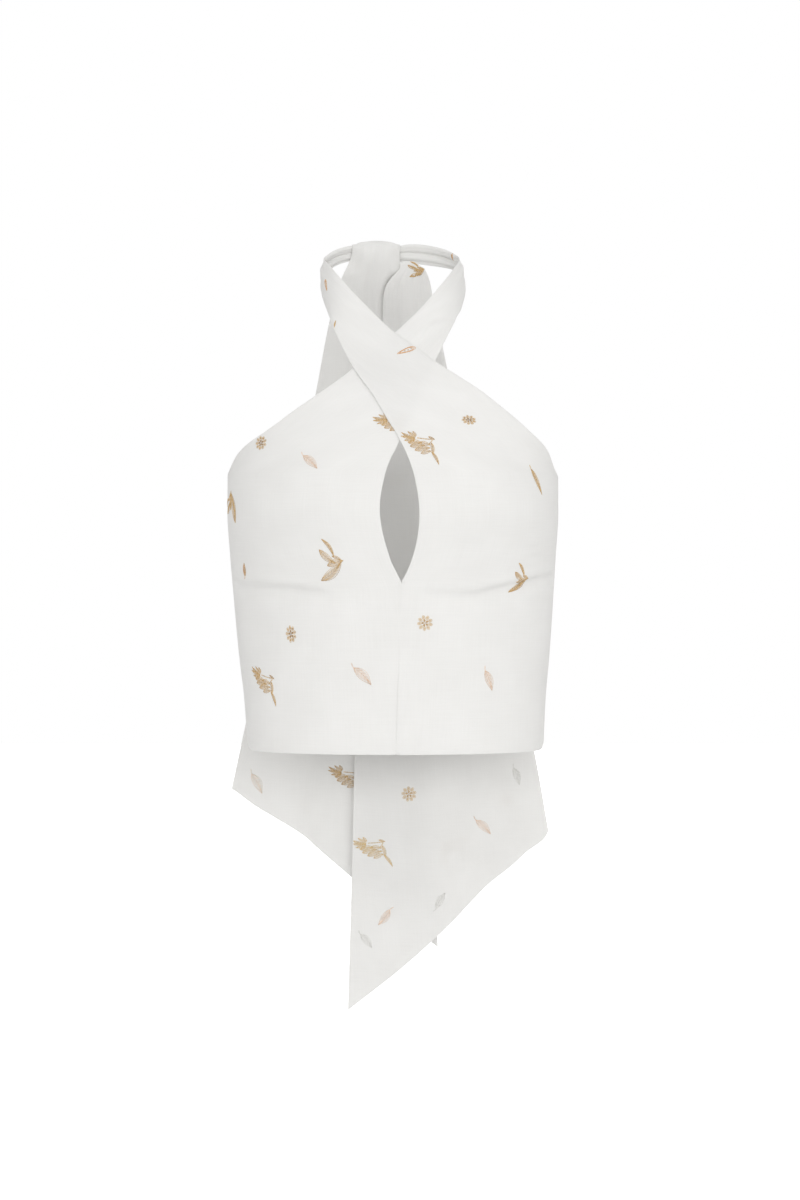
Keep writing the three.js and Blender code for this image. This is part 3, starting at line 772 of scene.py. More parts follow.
class HALTER_cloth(bpy.types.PropertyGroup):
    thickness: bpy.props.FloatProperty(
        name="Cloth", description="Thickness of the doubled cloth", default=0.0012, unit="LENGTH")
    colour: bpy.props.FloatVectorProperty(
        name="Colour", description="Warm white of the cloth", default=(0.862, 0.857, 0.841), size=3,
        subtype="COLOR")
    shade: bpy.props.FloatVectorProperty(
        name="Shade", description="Colour of its thinner threads", default=(0.80, 0.793, 0.774), size=3,
        subtype="COLOR")
    translucent: bpy.props.FloatProperty(
        name="Translucent", description="Share of light let through", default=0.22, subtype="FACTOR")


class HALTER_stage(bpy.types.PropertyGroup):
    floor_drop: bpy.props.FloatProperty(
        name="Floor", description="Floor below the nape, as under a standing wearer", default=1.35,
        unit="LENGTH")
    distance: bpy.props.FloatProperty(
        name="Camera distance", description="From the camera to the side seams", default=2.0, unit="LENGTH")


def cloth_of(scene):
    """The cloth's material, made once."""
    known = bpy.data.materials.get("slubbed_cloth")
    if known:
        return known
    sizes = scene.halter_cloth
    return cloth_material("slubbed_cloth", slub_weave_group(), tuple(sizes.colour), tuple(sizes.shade),
                          sizes.translucent)


def flat_area(grid):
    """Area of a grid's face in square metres, and its length and width along and across."""
    a = grid[1:, 1:] - grid[:-1, :-1]
    b = grid[1:, :-1] - grid[:-1, 1:]
    area = np.linalg.norm(np.cross(a, b), axis=2).sum() / 2 * MM * MM
    wide, long = cumulative(grid, 1)[:, -1].max() * MM, cumulative(grid, 0)[-1].max() * MM
    return float(area), float(wide), float(long)


def declare_sheet(cloth):
    """Measures a cloth piece's area, width and length from its own grid, and does nothing with them."""
    area, width, length = flat_area(cloth["outer"])
    width, length = round(width, 3), round(length, 3)


class HALTER_OT_fronts(bpy.types.Operator):
    """The two front panels with their crossed straps"""

    bl_idname = "halter.fronts"
    bl_label = "Front panels and straps"

    def execute(self, context):
        for node, chest, strap, over in (
            ("front_left", LEFT_FRONT, LEFT_STRAP, True),
            ("front_right", RIGHT_FRONT, RIGHT_STRAP, False),
        ):
            facing = 1 if over else -1
            grid, chest_rows = front_grid(chest, strap, over, CHEST_STEPS, STRAP_STEPS, FRONT_ACROSS)
            grid = hem_curved(eased(grid, chest_rows, 26, 60))
            grid = self.creased(grid, facing, CREASES[node], chest_rows, 2.0 if over else 5.0)
            keyhole_foot = KEYHOLE_FOOT_ROW * CHEST_STEPS
            side_top = SIDE_TOP_ROW * CHEST_STEPS
            rows = np.arange(len(grid))
            relief = edge_relief(grid, rows <= keyhole_foot, rows <= side_top, (True, False))
            square = np.zeros(grid.shape[:2], bool)
            square[: keyhole_foot + 1, 0] = True
            square[: side_top + 1, -1] = True
            square[-1] = True
            shell(node, grid, facing, relief, square, "hung")
        return {"FINISHED"}

    def creased(self, grid, facing, creases, chest_rows, seed):
        normal = grid_normals(grid, facing)
        relief = np.zeros(grid.shape[:2])
        for i in range(grid.shape[0]):
            for j in range(grid.shape[1]):
                x, y, z = grid[i, j]
                if y > -4 and z < 200:
                    continue
                fade = smooth((-y - 4) / 22) if z < 200 else 1.0
                relief[i, j] = broad_wave(x, z, seed) * fade
                if y < -20:
                    relief[i, j] += crease_relief(creases, x, z) * smooth((-y - 20) / 10)
        free = np.ones(len(grid))
        free[chest_rows:] = np.linspace(1, 0, len(grid) - chest_rows)
        return grid + normal * (relief * free[:, None])[:, :, None]


class HALTER_OT_back(bpy.types.Operator):
    """The low back panel"""

    bl_idname = "halter.back"
    bl_label = "Back panel"

    def execute(self, context):
        grid = hem_curved(back_grid(*BACK_STEPS))
        normal = grid_normals(grid, 1)
        relief = np.zeros(grid.shape[:2])
        for i in range(grid.shape[0]):
            for j in range(grid.shape[1]):
                x, y, z = grid[i, j]
                drag = self.drag_line(0.9, z + 62 + 0.12 * abs(x), 9, 1.2 - abs(x - 30) / 70)
                drag += self.drag_line(0.7, z + 96 - 0.1 * x, 7, 1 - abs(x + 46) / 50)
                relief[i, j] = (broad_wave(x, z, 8.0) * 1.3 - drag) * smooth((y - 4) / 22)
        grid = grid + normal * relief[:, :, None]
        seam = np.ones(len(grid), bool)
        square = np.zeros(grid.shape[:2], bool)
        square[:, 0] = square[:, -1] = True
        shell("back", grid, 1, edge_relief(grid, seam, seam), square, "hung")
        return {"FINISHED"}

    def drag_line(self, deep, away, width, share):
        return deep * math.exp(-((away / width) ** 2)) * smooth(share)


class HALTER_OT_ties(bpy.types.Operator):
    """The two wide tie ends"""

    bl_idname = "halter.ties"
    bl_label = "Tie ends"

    def execute(self, context):
        for node, tie in (("tie_left", LEFT_TIE), ("tie_right", RIGHT_TIE)):
            grid = tie_grid(tie, 190, 84)
            free = np.zeros(len(grid), bool)
            square = np.zeros(grid.shape[:2], bool)
            shell(node, grid, 1, edge_relief(grid, free, free), square, "hung")
        return {"FINISHED"}


class HALTER_OT_wrap(bpy.types.Operator):
    """The wrap of gathered cloth at the nape"""

    bl_idname = "halter.wrap"
    bl_label = "Nape wrap"

    def execute(self, context):
        rings, around = 88, 72
        points, uvs, faces = [], [], []
        middle = ((WRAP["y0"] + WRAP["y1"]) / 2, (WRAP["low"] + WRAP["high"]) / 2)
        for i in range(rings + 1):
            s = i / rings
            x = mix(WRAP["x0"], WRAP["x1"], s)
            ends = 0.84 + 0.16 * math.sin(math.pi * s) ** 0.5
            for j in range(around):
                turn = 2 * math.pi * j / around
                slant = s + 0.035 * math.sin(turn)
                pleat = 0.3 * math.cos(2 * math.pi * 3 * slant + 0.4) * (0.6 + 0.4 * math.sin(7 * slant + 1))
                pleat += 0.1 * math.cos(2 * math.pi * 7.3 * slant + 2)
                half_y = (WRAP["y1"] - WRAP["y0"]) / 2 * ends
                half_z = (WRAP["high"] - WRAP["low"]) / 2 * ends
                c = signed_power(math.cos(turn), 2 / WRAP["power"])
                d = signed_power(math.sin(turn), 2 / WRAP["power"])
                scale = 1 + pleat / 13
                y, z = middle[0] + half_y * c * scale, middle[1] + half_z * d * scale
                y, narrow = shouldered(x, y)
                z = mix(z, WRAP["strap_height"] + (z - middle[1]) * WRAP["low_end"], narrow)
                points.append((x, y, z))
                uvs.append((x * MM, turn * 0.012))
        for i in range(rings):
            for j in range(around):
                a, b = i * around + j, i * around + (j + 1) % around
                faces.append((a, b, b + around, a + around))
        for ring, x in ((0, WRAP["x0"]), (rings, WRAP["x1"])):
            centre = len(points)
            points.append((x, shouldered(x, middle[0])[0], WRAP["strap_height"]))
            uvs.append((x * MM, 0))
            for j in range(around):
                a, b = ring * around + j, ring * around + (j + 1) % around
                faces.append((centre, b, a) if ring == 0 else (centre, a, b))
        obj = mesh_object("nape_wrap_cloth", points, faces, uvs)
        obj.data.materials.append(cloth_of(context.scene))
        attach(obj, "root")
        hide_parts("nape_knot")
        return {"FINISHED"}


# Thread motifs, drawn in a flat plane in millimetres: each stitch runs from one point to another, and
# is marked 1 where it takes the darker thread and 2 where it takes that of a flower's middle
def blade(start, end, width, bend=0.0, spacing=1.1, dark=0):
    """A leaf, wing or petal: a sewn outline and midrib, with slanted stitches and gaps between them."""
    dx, dy = end[0] - start[0], end[1] - start[1]
    length = math.hypot(dx, dy)
    ux, uy = dx / length, dy / length

    def at(t, side):
        off = bend * length * 4 * t * (1 - t) + side * width / 2 * math.sin(math.pi * clamp01(t) ** 0.85)
        return start[0] + dx * t - uy * off, start[1] + dy * t + ux * off

    stitches = []
    steps = max(round(length / 2.2), 3)
    for side, tone in ((1, dark), (-1, 1), (0, 1)):
        for k in range(steps):
            stitches.append((*at(k / steps, side), *at((k + 1) / steps, side), tone))
    count = max(round(length / spacing), 3)
    for k in range(count):
        t = (k + 0.4) / count
        for side in (0.86, -0.86):
            stitches.append((*at(t, 0), *at(min(t + 0.08 + width * 0.012, 1), side), dark if k % 3 else 1))
    return stitches


def stem(*points):
    """A line of running stitches, two threads side by side."""
    stitches = []
    for a, b in zip(points, points[1:]):
        length = math.hypot(b[0] - a[0], b[1] - a[1])
        count = max(round(length / 2.6), 1)
        ux, uy = (b[0] - a[0]) / length, (b[1] - a[1]) / length
        for side in (-0.22, 0.22):
            for k in range(count):
                t, u = k / count, (k + 1.1) / count
                stitches.append((mix(a[0], b[0], t) - uy * side, mix(a[1], b[1], t) + ux * side,
                                 mix(a[0], b[0], u) - uy * side, mix(a[1], b[1], u) + ux * side, k % 2))
    return stitches


def daisy():
    """A round flower: a ring of looped petals round a smaller ring of loops and a knot."""
    stitches = []
    knot = 2
    rings = ((9, 4.8, 1.9, 1.3, (0, 1, 0)), (5, 2.0, 1.0, 0.8, (knot, 1, knot)))
    for petals, out, deep, wide, tones in rings:
        for k in range(petals):
            turn = 2 * math.pi * k / petals + 0.2 * out
            cos, sin = math.cos(turn), math.sin(turn)
            ring = []
            for n in range(7):
                angle = 2 * math.pi * n / 6 + 0.3
                reach, off = out + deep * math.cos(angle), wide * math.sin(angle)
                ring.append((reach * cos - off * sin, reach * sin + off * cos))
            inner = [(0.5 * (x + out * cos), 0.5 * (y + out * sin)) for x, y in ring]
            for loop in (ring, inner):
                for n, (a, b) in enumerate(zip(loop, loop[1:])):
                    stitches.append((*a, *b, tones[(n + k) % 3]))
            heart = 0.45 * deep
            near, far = out - heart, out + heart
            stitches.append((near * cos, near * sin, far * cos, far * sin, tones[1]))
    for angle in (0.4, 1.5, 2.6):
        cos, sin = 0.6 * math.cos(angle), 0.6 * math.sin(angle)
        stitches.append((-cos, -sin, cos, sin, knot))
    return stitches


def side_daisy():
    """The same flower seen half from the side."""
    narrow = 0.68
    return [(a * narrow, b, c * narrow, d, dark) for a, b, c, d, dark in daisy()]


def leaf():
    """A single pointed leaf on a short stem."""
    return stem((-12, 1.5), (-9.5, 0.3), (-7, 0)) + blade((-8, 0), (11, 0), 7.2, 0.05)


def slim_leaf():
    """A narrow pointed leaf."""
    return stem((-13, 0.6), (-10, 0)) + blade((-10, 0), (13, 0), 4.2, 0.03, 1.0)


def drop():
    """A drop-shaped leaf drawn as an outline with a few knots in it."""
    stitches = []
    steps = 26
    ring = []
    for k in range(steps):
        turn = 2 * math.pi * k / steps
        wide = 2.9 * math.sin(turn) * (0.62 + 0.38 * math.cos(turn)) ** 0.8
        ring.append((8.5 * math.cos(turn), wide))
    for a, b in zip(ring, ring[1:] + ring[:1]):
        for inset in (1.0, 0.84, 0.7):
            stitches.append((a[0] * inset, a[1] * inset, b[0] * inset, b[1] * inset, 0))
    for x, y in ((4.5, 0.4), (1.5, -0.2), (-1.5, 0.1)):
        stitches.append((x - 0.7, y - 0.6, x + 0.7, y + 0.6, 1))
        stitches.append((x - 0.7, y + 0.6, x + 0.7, y - 0.6, 1))
    return stitches


def wings():
    """Blades that meet in a point, like a small bird in flight."""
    return (blade((-17, 18.5), (-6, 3), 2.8, 0.1) + blade((-8, 4), (1, 0), 2.6, 0.06)
            + blade((-19, 9), (-4.5, -2.5), 5.6, -0.06) + blade((-17.5, -18.5), (0.5, 0), 7.8, -0.08)
            + blade((-12, -5), (2, 0.5), 5.8, 0.04))


def low_wings():
    """The same blades on cloth that leans away."""
    low = 0.55
    return [(a, b * low, c, d * low, dark) for a, b, c, d, dark in wings()]


def spray():
    """A flower seen from the side with a bud, a close bunch of leaves and a trailing one."""
    stitches = []
    for start, tip, width in (
        ((-4.2, 7), (-16, 12.6), 2.6), ((-3.8, 8), (-16.4, 9.4), 2.6), ((-4, 7), (-13.6, 5.6), 2.6),
        ((-3.4, 9), (-10.6, 13.6), 2.4), ((-3, 10), (-6.2, 13.8), 2.2), ((-4.6, 6), (-10.4, 3.6), 2.4),
    ):
        stitches += blade(start, tip, width, 0.05, 1.0)
    stitches += stem((-2.6, 8), (4, 7.4), (10.6, 7.2)) + stem((11, 7), (7.6, 2.8))
    stitches += blade((7, 9.6), (12.6, 7.2), 1.6, dark=1)
    for start, end, width in (
        ((-9.8, 3.2), (1.6, 4.2), 4.2), ((-8.6, 0.4), (4.4, 1.4), 4.8), ((-4.6, -3), (8.8, -0.4), 4.6),
        ((-1.4, 3.6), (9, 2.2), 3.6), ((0.6, -5.6), (9.6, -3.2), 3.8), ((9.6, 4.4), (11, -6.4), 2.8),
    ):
        stitches += blade(start, end, width, 0.05, 1.0)
    return stitches + blade((9.6, -3.8), (16, -15), 2.4, 0.06, 1.0)


MOTIFS = {
    "daisy": daisy, "side_daisy": side_daisy, "leaf": leaf, "slim_leaf": slim_leaf, "drop": drop,
    "wings": wings, "low_wings": low_wings, "spray": spray,
}

# Where each motif lies: the piece, the side it is seen from, its place across and up, turn and size
PLACES = table(
    "node seen kind x z turn size thread",
    ("tie_left", "front", "low_wings", 25.6, 303.4, 2, 0.78, "gold"),
    ("front_left", "front", "drop", -61, 276.5, 112, 0.72, "orange"),
    ("front_left", "front", "slim_leaf", -52.2, 238.5, 80, 0.3, "dark_daisy"),
    ("front_right", "front", "leaf", 51, 311, -50, 0.4, "orange"),
    ("front_left", "front", "drop", 9.5, 213.5, 24, 1.02, "orange"),
    ("front_right", "front", "daisy", -114.9, 134.3, 0, 0.92, "dark_daisy"),
    ("front_right", "front", "leaf", -72.7, 117.2, -45, 0.95, "peach"),
    ("front_right", "front", "spray", -1, 146.2, 12, 1, "gold"),
    ("front_left", "front", "spray", 20.8, 128.5, 0, 1, "gold"),
    ("front_left", "front", "side_daisy", 62.4, 152.5, 90, 0.95, "dark_daisy"),
    ("front_left", "front", "slim_leaf", 120.6, 103, -50, 1.15, "gold"),
    ("front_right", "front", "wings", -143.4, 93, 66, 1.15, "gold"),
    ("front_right", "front", "wings", -45.7, 32.9, 0, 1, "gold"),
    ("front_left", "front", "wings", 113.2, 18.4, -39, 0.9, "gold"),
    ("front_right", "front", "leaf", -130.4, 25.4, 98, 0.62, "rust"),
    ("front_right", "front", "side_daisy", -89.2, -29.1, 6, 1.12, "dark_daisy"),
    ("front_left", "front", "daisy", 25.2, -19.5, 10, 1, "daisy"),
    ("front_right", "front", "spray", -114.5, -73.5, -4, 1.05, "gold"),
    ("front_right", "front", "leaf", -29.1, -63.6, -44, 1.1, "peach"),
    ("front_left", "front", "leaf", 79.2, -67.5, -69, 0.98, "peach"),
    ("front_left", "front", "daisy", 136.2, -57.4, 0, 0.85, "dark_daisy"),
    ("tie_right", "front", "leaf", -130.9, -170.5, -62, 1.1, "pale"),
    ("tie_right", "front", "spray", -46.5, -170, 0, 1.06, "gold"),
    ("tie_left", "front", "daisy", 12.4, -181.4, 0, 1.05, "daisy"),
    ("tie_left", "front", "spray", -22.2, -235.8, 8, 1.08, "light"),
    ("tie_left", "front", "leaf", 80.7, -211.3, -43, 1, "pale_peach"),
    ("tie_left", "front", "leaf", -10, -295.5, 233, 0.95, "pale_peach"),
    # Painted shade: the three pale grey leaves below stand for the shadows of motifs on the tie's far face,
    # seen through the cloth; no thread lies on this face there
    ("tie_left", "front", "leaf", 41.4, -282.2, 60, 0.9, "ghost"),
    ("tie_left", "front", "leaf", 112, -163.1, -70, 0.9, "ghost"),
    ("tie_left", "front", "leaf", -28.7, -318, -50, 0.9, "ghost"),
    ("back", "rear", "spray", 62, -30, 10, 1, "gold"),
    ("back", "rear", "daisy", -18, -52, 0, 1, "daisy"),
    ("back", "rear", "wings", -74, -8, 30, 0.95, "gold"),
    ("back", "rear", "leaf", 16, -100, -40, 1.05, "peach"),
    ("back", "rear", "leaf", 104, 30, -62, 1, "peach"),
    ("back", "rear", "daisy", -108, 60, 20, 0.95, "dark_daisy"),
    ("back", "rear", "wings", 100, -92, -40, 0.9, "gold"),
    ("back", "rear", "spray", -70, -98, -14, 1, "gold"),
    ("back", "rear", "slim_leaf", -122, -50, 70, 0.9, "orange"),
    ("tie_left", "rear", "leaf", 6, 236, 60, 0.95, "peach"),
    ("tie_left", "rear", "wings", 24, 170, 10, 0.95, "gold"),
    ("tie_left", "rear", "daisy", 2, 112, 0, 1, "daisy"),
    ("tie_left", "rear", "spray", 52, 66, -8, 1.05, "gold"),
    ("tie_left", "rear", "leaf", -12, 22, -45, 1.05, "peach"),
    ("tie_left", "rear", "daisy", 70, -24, 30, 1, "dark_daisy"),
    ("tie_left", "rear", "wings", 8, -62, -30, 1, "gold"),
    ("tie_left", "rear", "leaf", 96, -96, 50, 1, "peach"),
    ("tie_left", "rear", "spray", 40, -132, 14, 1.05, "gold"),
    ("tie_left", "rear", "leaf", -18, -176, -60, 1, "pale"),
    ("tie_left", "rear", "daisy", 104, -186, 0, 1, "daisy"),
    ("tie_left", "rear", "wings", 46, -226, 40, 0.95, "gold"),
    ("tie_left", "rear", "leaf", -6, -296, -35, 1, "peach"),
    ("tie_right", "rear", "daisy", -38, 232, 0, 0.95, "daisy"),
    ("tie_right", "rear", "leaf", -52, 160, -60, 1, "peach"),
    ("tie_right", "rear", "spray", -30, 92, 0, 1.05, "gold"),
    ("tie_right", "rear", "wings", -84, 44, 20, 1, "gold"),
    ("tie_right", "rear", "leaf", -40, 2, 35, 1, "peach"),
    ("tie_right", "rear", "daisy", -104, -34, 15, 1, "dark_daisy"),
    ("tie_right", "rear", "spray", -62, -84, -10, 1.05, "gold"),
    ("tie_right", "rear", "leaf", -120, -118, -50, 1, "peach"),
    ("tie_right", "rear", "wings", -30, -148, -20, 0.95, "gold"),
    ("tie_right", "rear", "leaf", -84, -196, 62, 1, "pale"),
    ("tie_right", "rear", "daisy", -10, -236, 0, 1, "daisy"),
)


def stitch_group():
    """Sets a small rounded stitch on every point, laid along the thread and flat on the cloth."""
    tree = bpy.data.node_groups.new("thread_stitches", "GeometryNodeTree")
    face = tree.interface
    face.new_socket(name="Geometry", in_out="INPUT", socket_type="NodeSocketGeometry")
    face.new_socket(name="Thread", in_out="INPUT", socket_type="NodeSocketMaterial")
    face.new_socket(name="Rounding", in_out="INPUT", socket_type="NodeSocketInt").default_value = 1
    face.new_socket(name="Geometry", in_out="OUTPUT", socket_type="NodeSocketGeometry")
    put_in, put_out = tree.nodes.new("NodeGroupInput"), tree.nodes.new("NodeGroupOutput")

    def named(name):
        node = tree.nodes.new("GeometryNodeInputNamedAttribute")
        node.data_type = "FLOAT_VECTOR"
        node.inputs["Name"].default_value = name
        return node.outputs["Attribute"]

    def aligned(axis, pivot, vector, rotation=None):
        node = tree.nodes.new("FunctionNodeAlignRotationToVector")
        node.axis, node.pivot_axis = axis, pivot
        tree.links.new(vector, node.inputs["Vector"])
        if rotation:
            tree.links.new(rotation, node.inputs["Rotation"])
        return node.outputs["Rotation"]

    stitch = tree.nodes.new("GeometryNodeMeshIcoSphere")
    stitch.inputs["Radius"].default_value = 0.5
    tree.links.new(put_in.outputs["Rounding"], stitch.inputs["Subdivisions"])
    put = tree.nodes.new("GeometryNodeInstanceOnPoints")
    tree.links.new(put_in.outputs["Geometry"], put.inputs["Points"])
    tree.links.new(stitch.outputs["Mesh"], put.inputs["Instance"])
    turned = aligned("Z", "X", named("outward"), aligned("X", "AUTO", named("along")))
    tree.links.new(turned, put.inputs["Rotation"])
    tree.links.new(named("extent"), put.inputs["Scale"])
    real = tree.nodes.new("GeometryNodeRealizeInstances")
    tree.links.new(put.outputs["Instances"], real.inputs["Geometry"])
    dressed = tree.nodes.new("GeometryNodeSetMaterial")
    tree.links.new(real.outputs["Geometry"], dressed.inputs["Geometry"])
    tree.links.new(put_in.outputs["Thread"], dressed.inputs["Material"])
    tree.links.new(dressed.outputs["Geometry"], put_out.inputs["Geometry"])
    return tree


def thread_material():
    """Soft thread in the colour that each stitch carries."""
    material = bpy.data.materials.new("thread")
    material.use_nodes = True
    tree = material.node_tree
    plain = tree.nodes["Principled BSDF"]
    colour = tree.nodes.new("ShaderNodeAttribute")
    colour.attribute_name = "thread_colour"
    place = tree.nodes.new("ShaderNodeTexCoord")
    fibres = noise_node(tree, place.outputs["Object"], 2600.0, 1.0)
    uneven = tree.nodes.new("ShaderNodeMix")
    uneven.data_type, uneven.blend_type = "RGBA", "MULTIPLY"
    uneven.inputs[0].default_value = 0.35
    tree.links.new(colour.outputs["Color"], uneven.inputs[6])
    tree.links.new(ranged(tree, fibres, 0.3, 0.7, 0.7, 1.0), uneven.inputs[7])
    tree.links.new(uneven.outputs[2], plain.inputs["Base Color"])
    bump = tree.nodes.new("ShaderNodeBump")
    bump.inputs["Strength"].default_value = 0.4
    bump.inputs["Distance"].default_value = 0.0001
    tree.links.new(fibres, bump.inputs["Height"])
    tree.links.new(bump.outputs[0], plain.inputs["Normal"])
    plain.inputs["Roughness"].default_value = 0.62
    plain.inputs["Sheen Weight"].default_value = 0.1
    return material


def face_tree(grid):
    """A search tree over one face of a cloth."""
    m, n = grid.shape[:2]
    index = np.arange(m * n).reshape(m, n)
    quads = np.stack([index[:-1, :-1], index[:-1, 1:], index[1:, 1:], index[1:, :-1]], axis=2).reshape(-1, 4)
    return BVHTree.FromPolygons(grid.reshape(-1, 3).tolist(), quads.tolist())


def sewn(grids, place, threads):
    """The stitches of one motif on the face of the cloth that its side of view meets first."""
    front = place["seen"] == "front"
    aim = Vector((0, 1, 0)) if front else Vector((0, -1, 0))
    start = Vector((place["x"], 0, place["z"])) - aim * 600
    best = None
    for tree in grids:
        at, normal, _, far = tree.ray_cast(start, aim)
        if at is not None and (best is None or far < best[0]):
            best = (far, tree, at, normal)
    if best is None:
        return []
    _, tree, origin, normal = best
    flip = -1 if normal.dot(aim) > 0 else 1
    normal = normal * flip
    right = Vector((1, 0, 0)) if front else Vector((-1, 0, 0))
    right = (right - normal * right.dot(normal)).normalized()
    up = normal.cross(right)
    cos, sin = math.cos(math.radians(place["turn"])), math.sin(math.radians(place["turn"]))
    edge_slack, lift, width, height = 0.35, 0.06, 0.42, 0.38

    def lie(a, b):
        a, b = a * place["size"], b * place["size"]
        point = origin + right * (a * cos - b * sin) + up * (a * sin + b * cos)
        near, facing, _, _ = tree.find_nearest(point)
        facing = facing * flip
        off = point - near
        beyond = (off - facing * off.dot(facing)).length > edge_slack
        return (None, None) if beyond else (near, facing)

    rows = []
    for k, (a0, b0, a1, b1, dark) in enumerate(MOTIFS[place["kind"]]()):
        first, facing = lie(a0, b0)
        last, other = lie(a1, b1)
        if first is None or last is None or (last - first).length < 0.2:
            continue
        facing = (facing + other).normalized()
        along = last - first
        shade = 0.9 + 0.2 * math.modf(abs(math.sin(k * 12.9898 + place["x"]) * 43.758))[0]
        colour = [c * shade for c in threads[place["thread"]][dark]]
        rows.append(((first + last) / 2 + facing * lift, along.normalized(), facing,
                     (along.length + width, width, height), colour))
    return rows


class HALTER_threads(bpy.types.PropertyGroup):
    gold: bpy.props.FloatVectorProperty(
        name="Gold", description="Tan gold thread", default=(0.66, 0.46, 0.22), size=3, subtype="COLOR")
    cream: bpy.props.FloatVectorProperty(
        name="Cream", description="Cream thread", default=(0.66, 0.52, 0.29), size=3, subtype="COLOR")
    brown: bpy.props.FloatVectorProperty(
        name="Brown", description="Darker thread", default=(0.47, 0.30, 0.13), size=3, subtype="COLOR")
    umber: bpy.props.FloatVectorProperty(
        name="Umber", description="Darkest thread, in some flowers", default=(0.27, 0.16, 0.065), size=3,
        subtype="COLOR")
    peach: bpy.props.FloatVectorProperty(
        name="Peach", description="Pale peach thread", default=(0.80, 0.62, 0.49), size=3, subtype="COLOR")
    rust: bpy.props.FloatVectorProperty(
        name="Rust", description="Thread of the leaf veins", default=(0.68, 0.46, 0.30), size=3,
        subtype="COLOR")
    orange: bpy.props.FloatVectorProperty(
        name="Orange", description="Soft orange thread", default=(0.66, 0.36, 0.15), size=3, subtype="COLOR")
    pale: bpy.props.FloatVectorProperty(
        name="Pale", description="Thread almost as pale as the cloth", default=(0.76, 0.70, 0.60), size=3,
        subtype="COLOR")
    # Painted shade: a grey for stitches that stand in for the shadows of motifs on a cloth's far face, seen
    # through the cloth
    ghost: bpy.props.FloatVectorProperty(
        name="Ghost", description="Thread as pale as the cloth in shade", default=(0.74, 0.73, 0.70), size=3,
        subtype="COLOR")


class HALTER_OT_threads(bpy.types.Operator):
    """The thread motifs on every cloth piece"""

    bl_idname = "halter.threads"
    bl_label = "Thread motifs"

    def execute(self, context):
        c = context.scene.halter_threads
        threads = {
            "gold": (c.gold, c.brown, c.brown), "daisy": (c.gold, c.gold, c.brown),
            "dark_daisy": (c.gold, c.brown, c.umber), "peach": (c.peach, c.rust, c.peach),
            "orange": (c.orange, c.brown, c.gold), "pale": (c.pale, c.peach, c.pale),
            # The show-through set paints shade: grey stitches where motifs on the far face show through the
            # cloth
            "light": (c.cream, c.gold, c.gold), "ghost": (c.ghost, c.ghost, c.ghost),
            "rust": (c.rust, c.brown, c.rust),
            "pale_peach": (c.peach, c.peach, c.pale),
        }
        group, material = stitch_group(), thread_material()
        for node, cloth in CLOTH.items():
            faces = [face_tree(cloth["outer"]), face_tree(cloth["inner"])]
            rows = [row for place in PLACES if place["node"] == node for row in sewn(faces, place, threads)]
            pieces = [self.stitched(context, node + "_threads", rows, group, material)] if rows else []
            declare_sheet(cloth)
        return {"FINISHED"}

    def stitched(self, context, name, rows, group, material):
        mesh = bpy.data.meshes.new(name + "_points")
        mesh.from_pydata([((np.array(row[0]) - NAPE) * MM).tolist() for row in rows], [], [])
        for label, column, scale in (("along", 1, 1.0), ("outward", 2, 1.0), ("extent", 3, MM)):
            layer = mesh.attributes.new(label, "FLOAT_VECTOR", "POINT")
            layer.data.foreach_set("vector", (np.array([row[column] for row in rows]) * scale).ravel())
        tone = mesh.attributes.new("thread_colour", "FLOAT_COLOR", "POINT")
        tone.data.foreach_set("color", np.array([(*row[4], 1) for row in rows]).ravel())
        obj = bpy.data.objects.new(name, mesh)
        context.scene.collection.objects.link(obj)
        modifier = obj.modifiers.new("stitches", "NODES")
        modifier.node_group = group
        sockets = {s.name: s.identifier for s in group.interface.items_tree if s.in_out == "INPUT"}
        modifier[sockets["Thread"]] = material
        modifier[sockets["Rounding"]] = 1
        depsgraph = context.evaluated_depsgraph_get()
        real = bpy.data.meshes.new_from_object(obj.evaluated_get(depsgraph), preserve_all_data_layers=True,
                                               depsgraph=depsgraph)
        obj.modifiers.clear()
        obj.data = real
        bpy.data.meshes.remove(mesh)
        for label in ("along", "outward", "extent"):
            if label in real.attributes:
                real.attributes.remove(real.attributes[label])
        real.polygons.foreach_set("use_smooth", [True] * len(real.polygons))
        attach(obj, "root")
        return obj


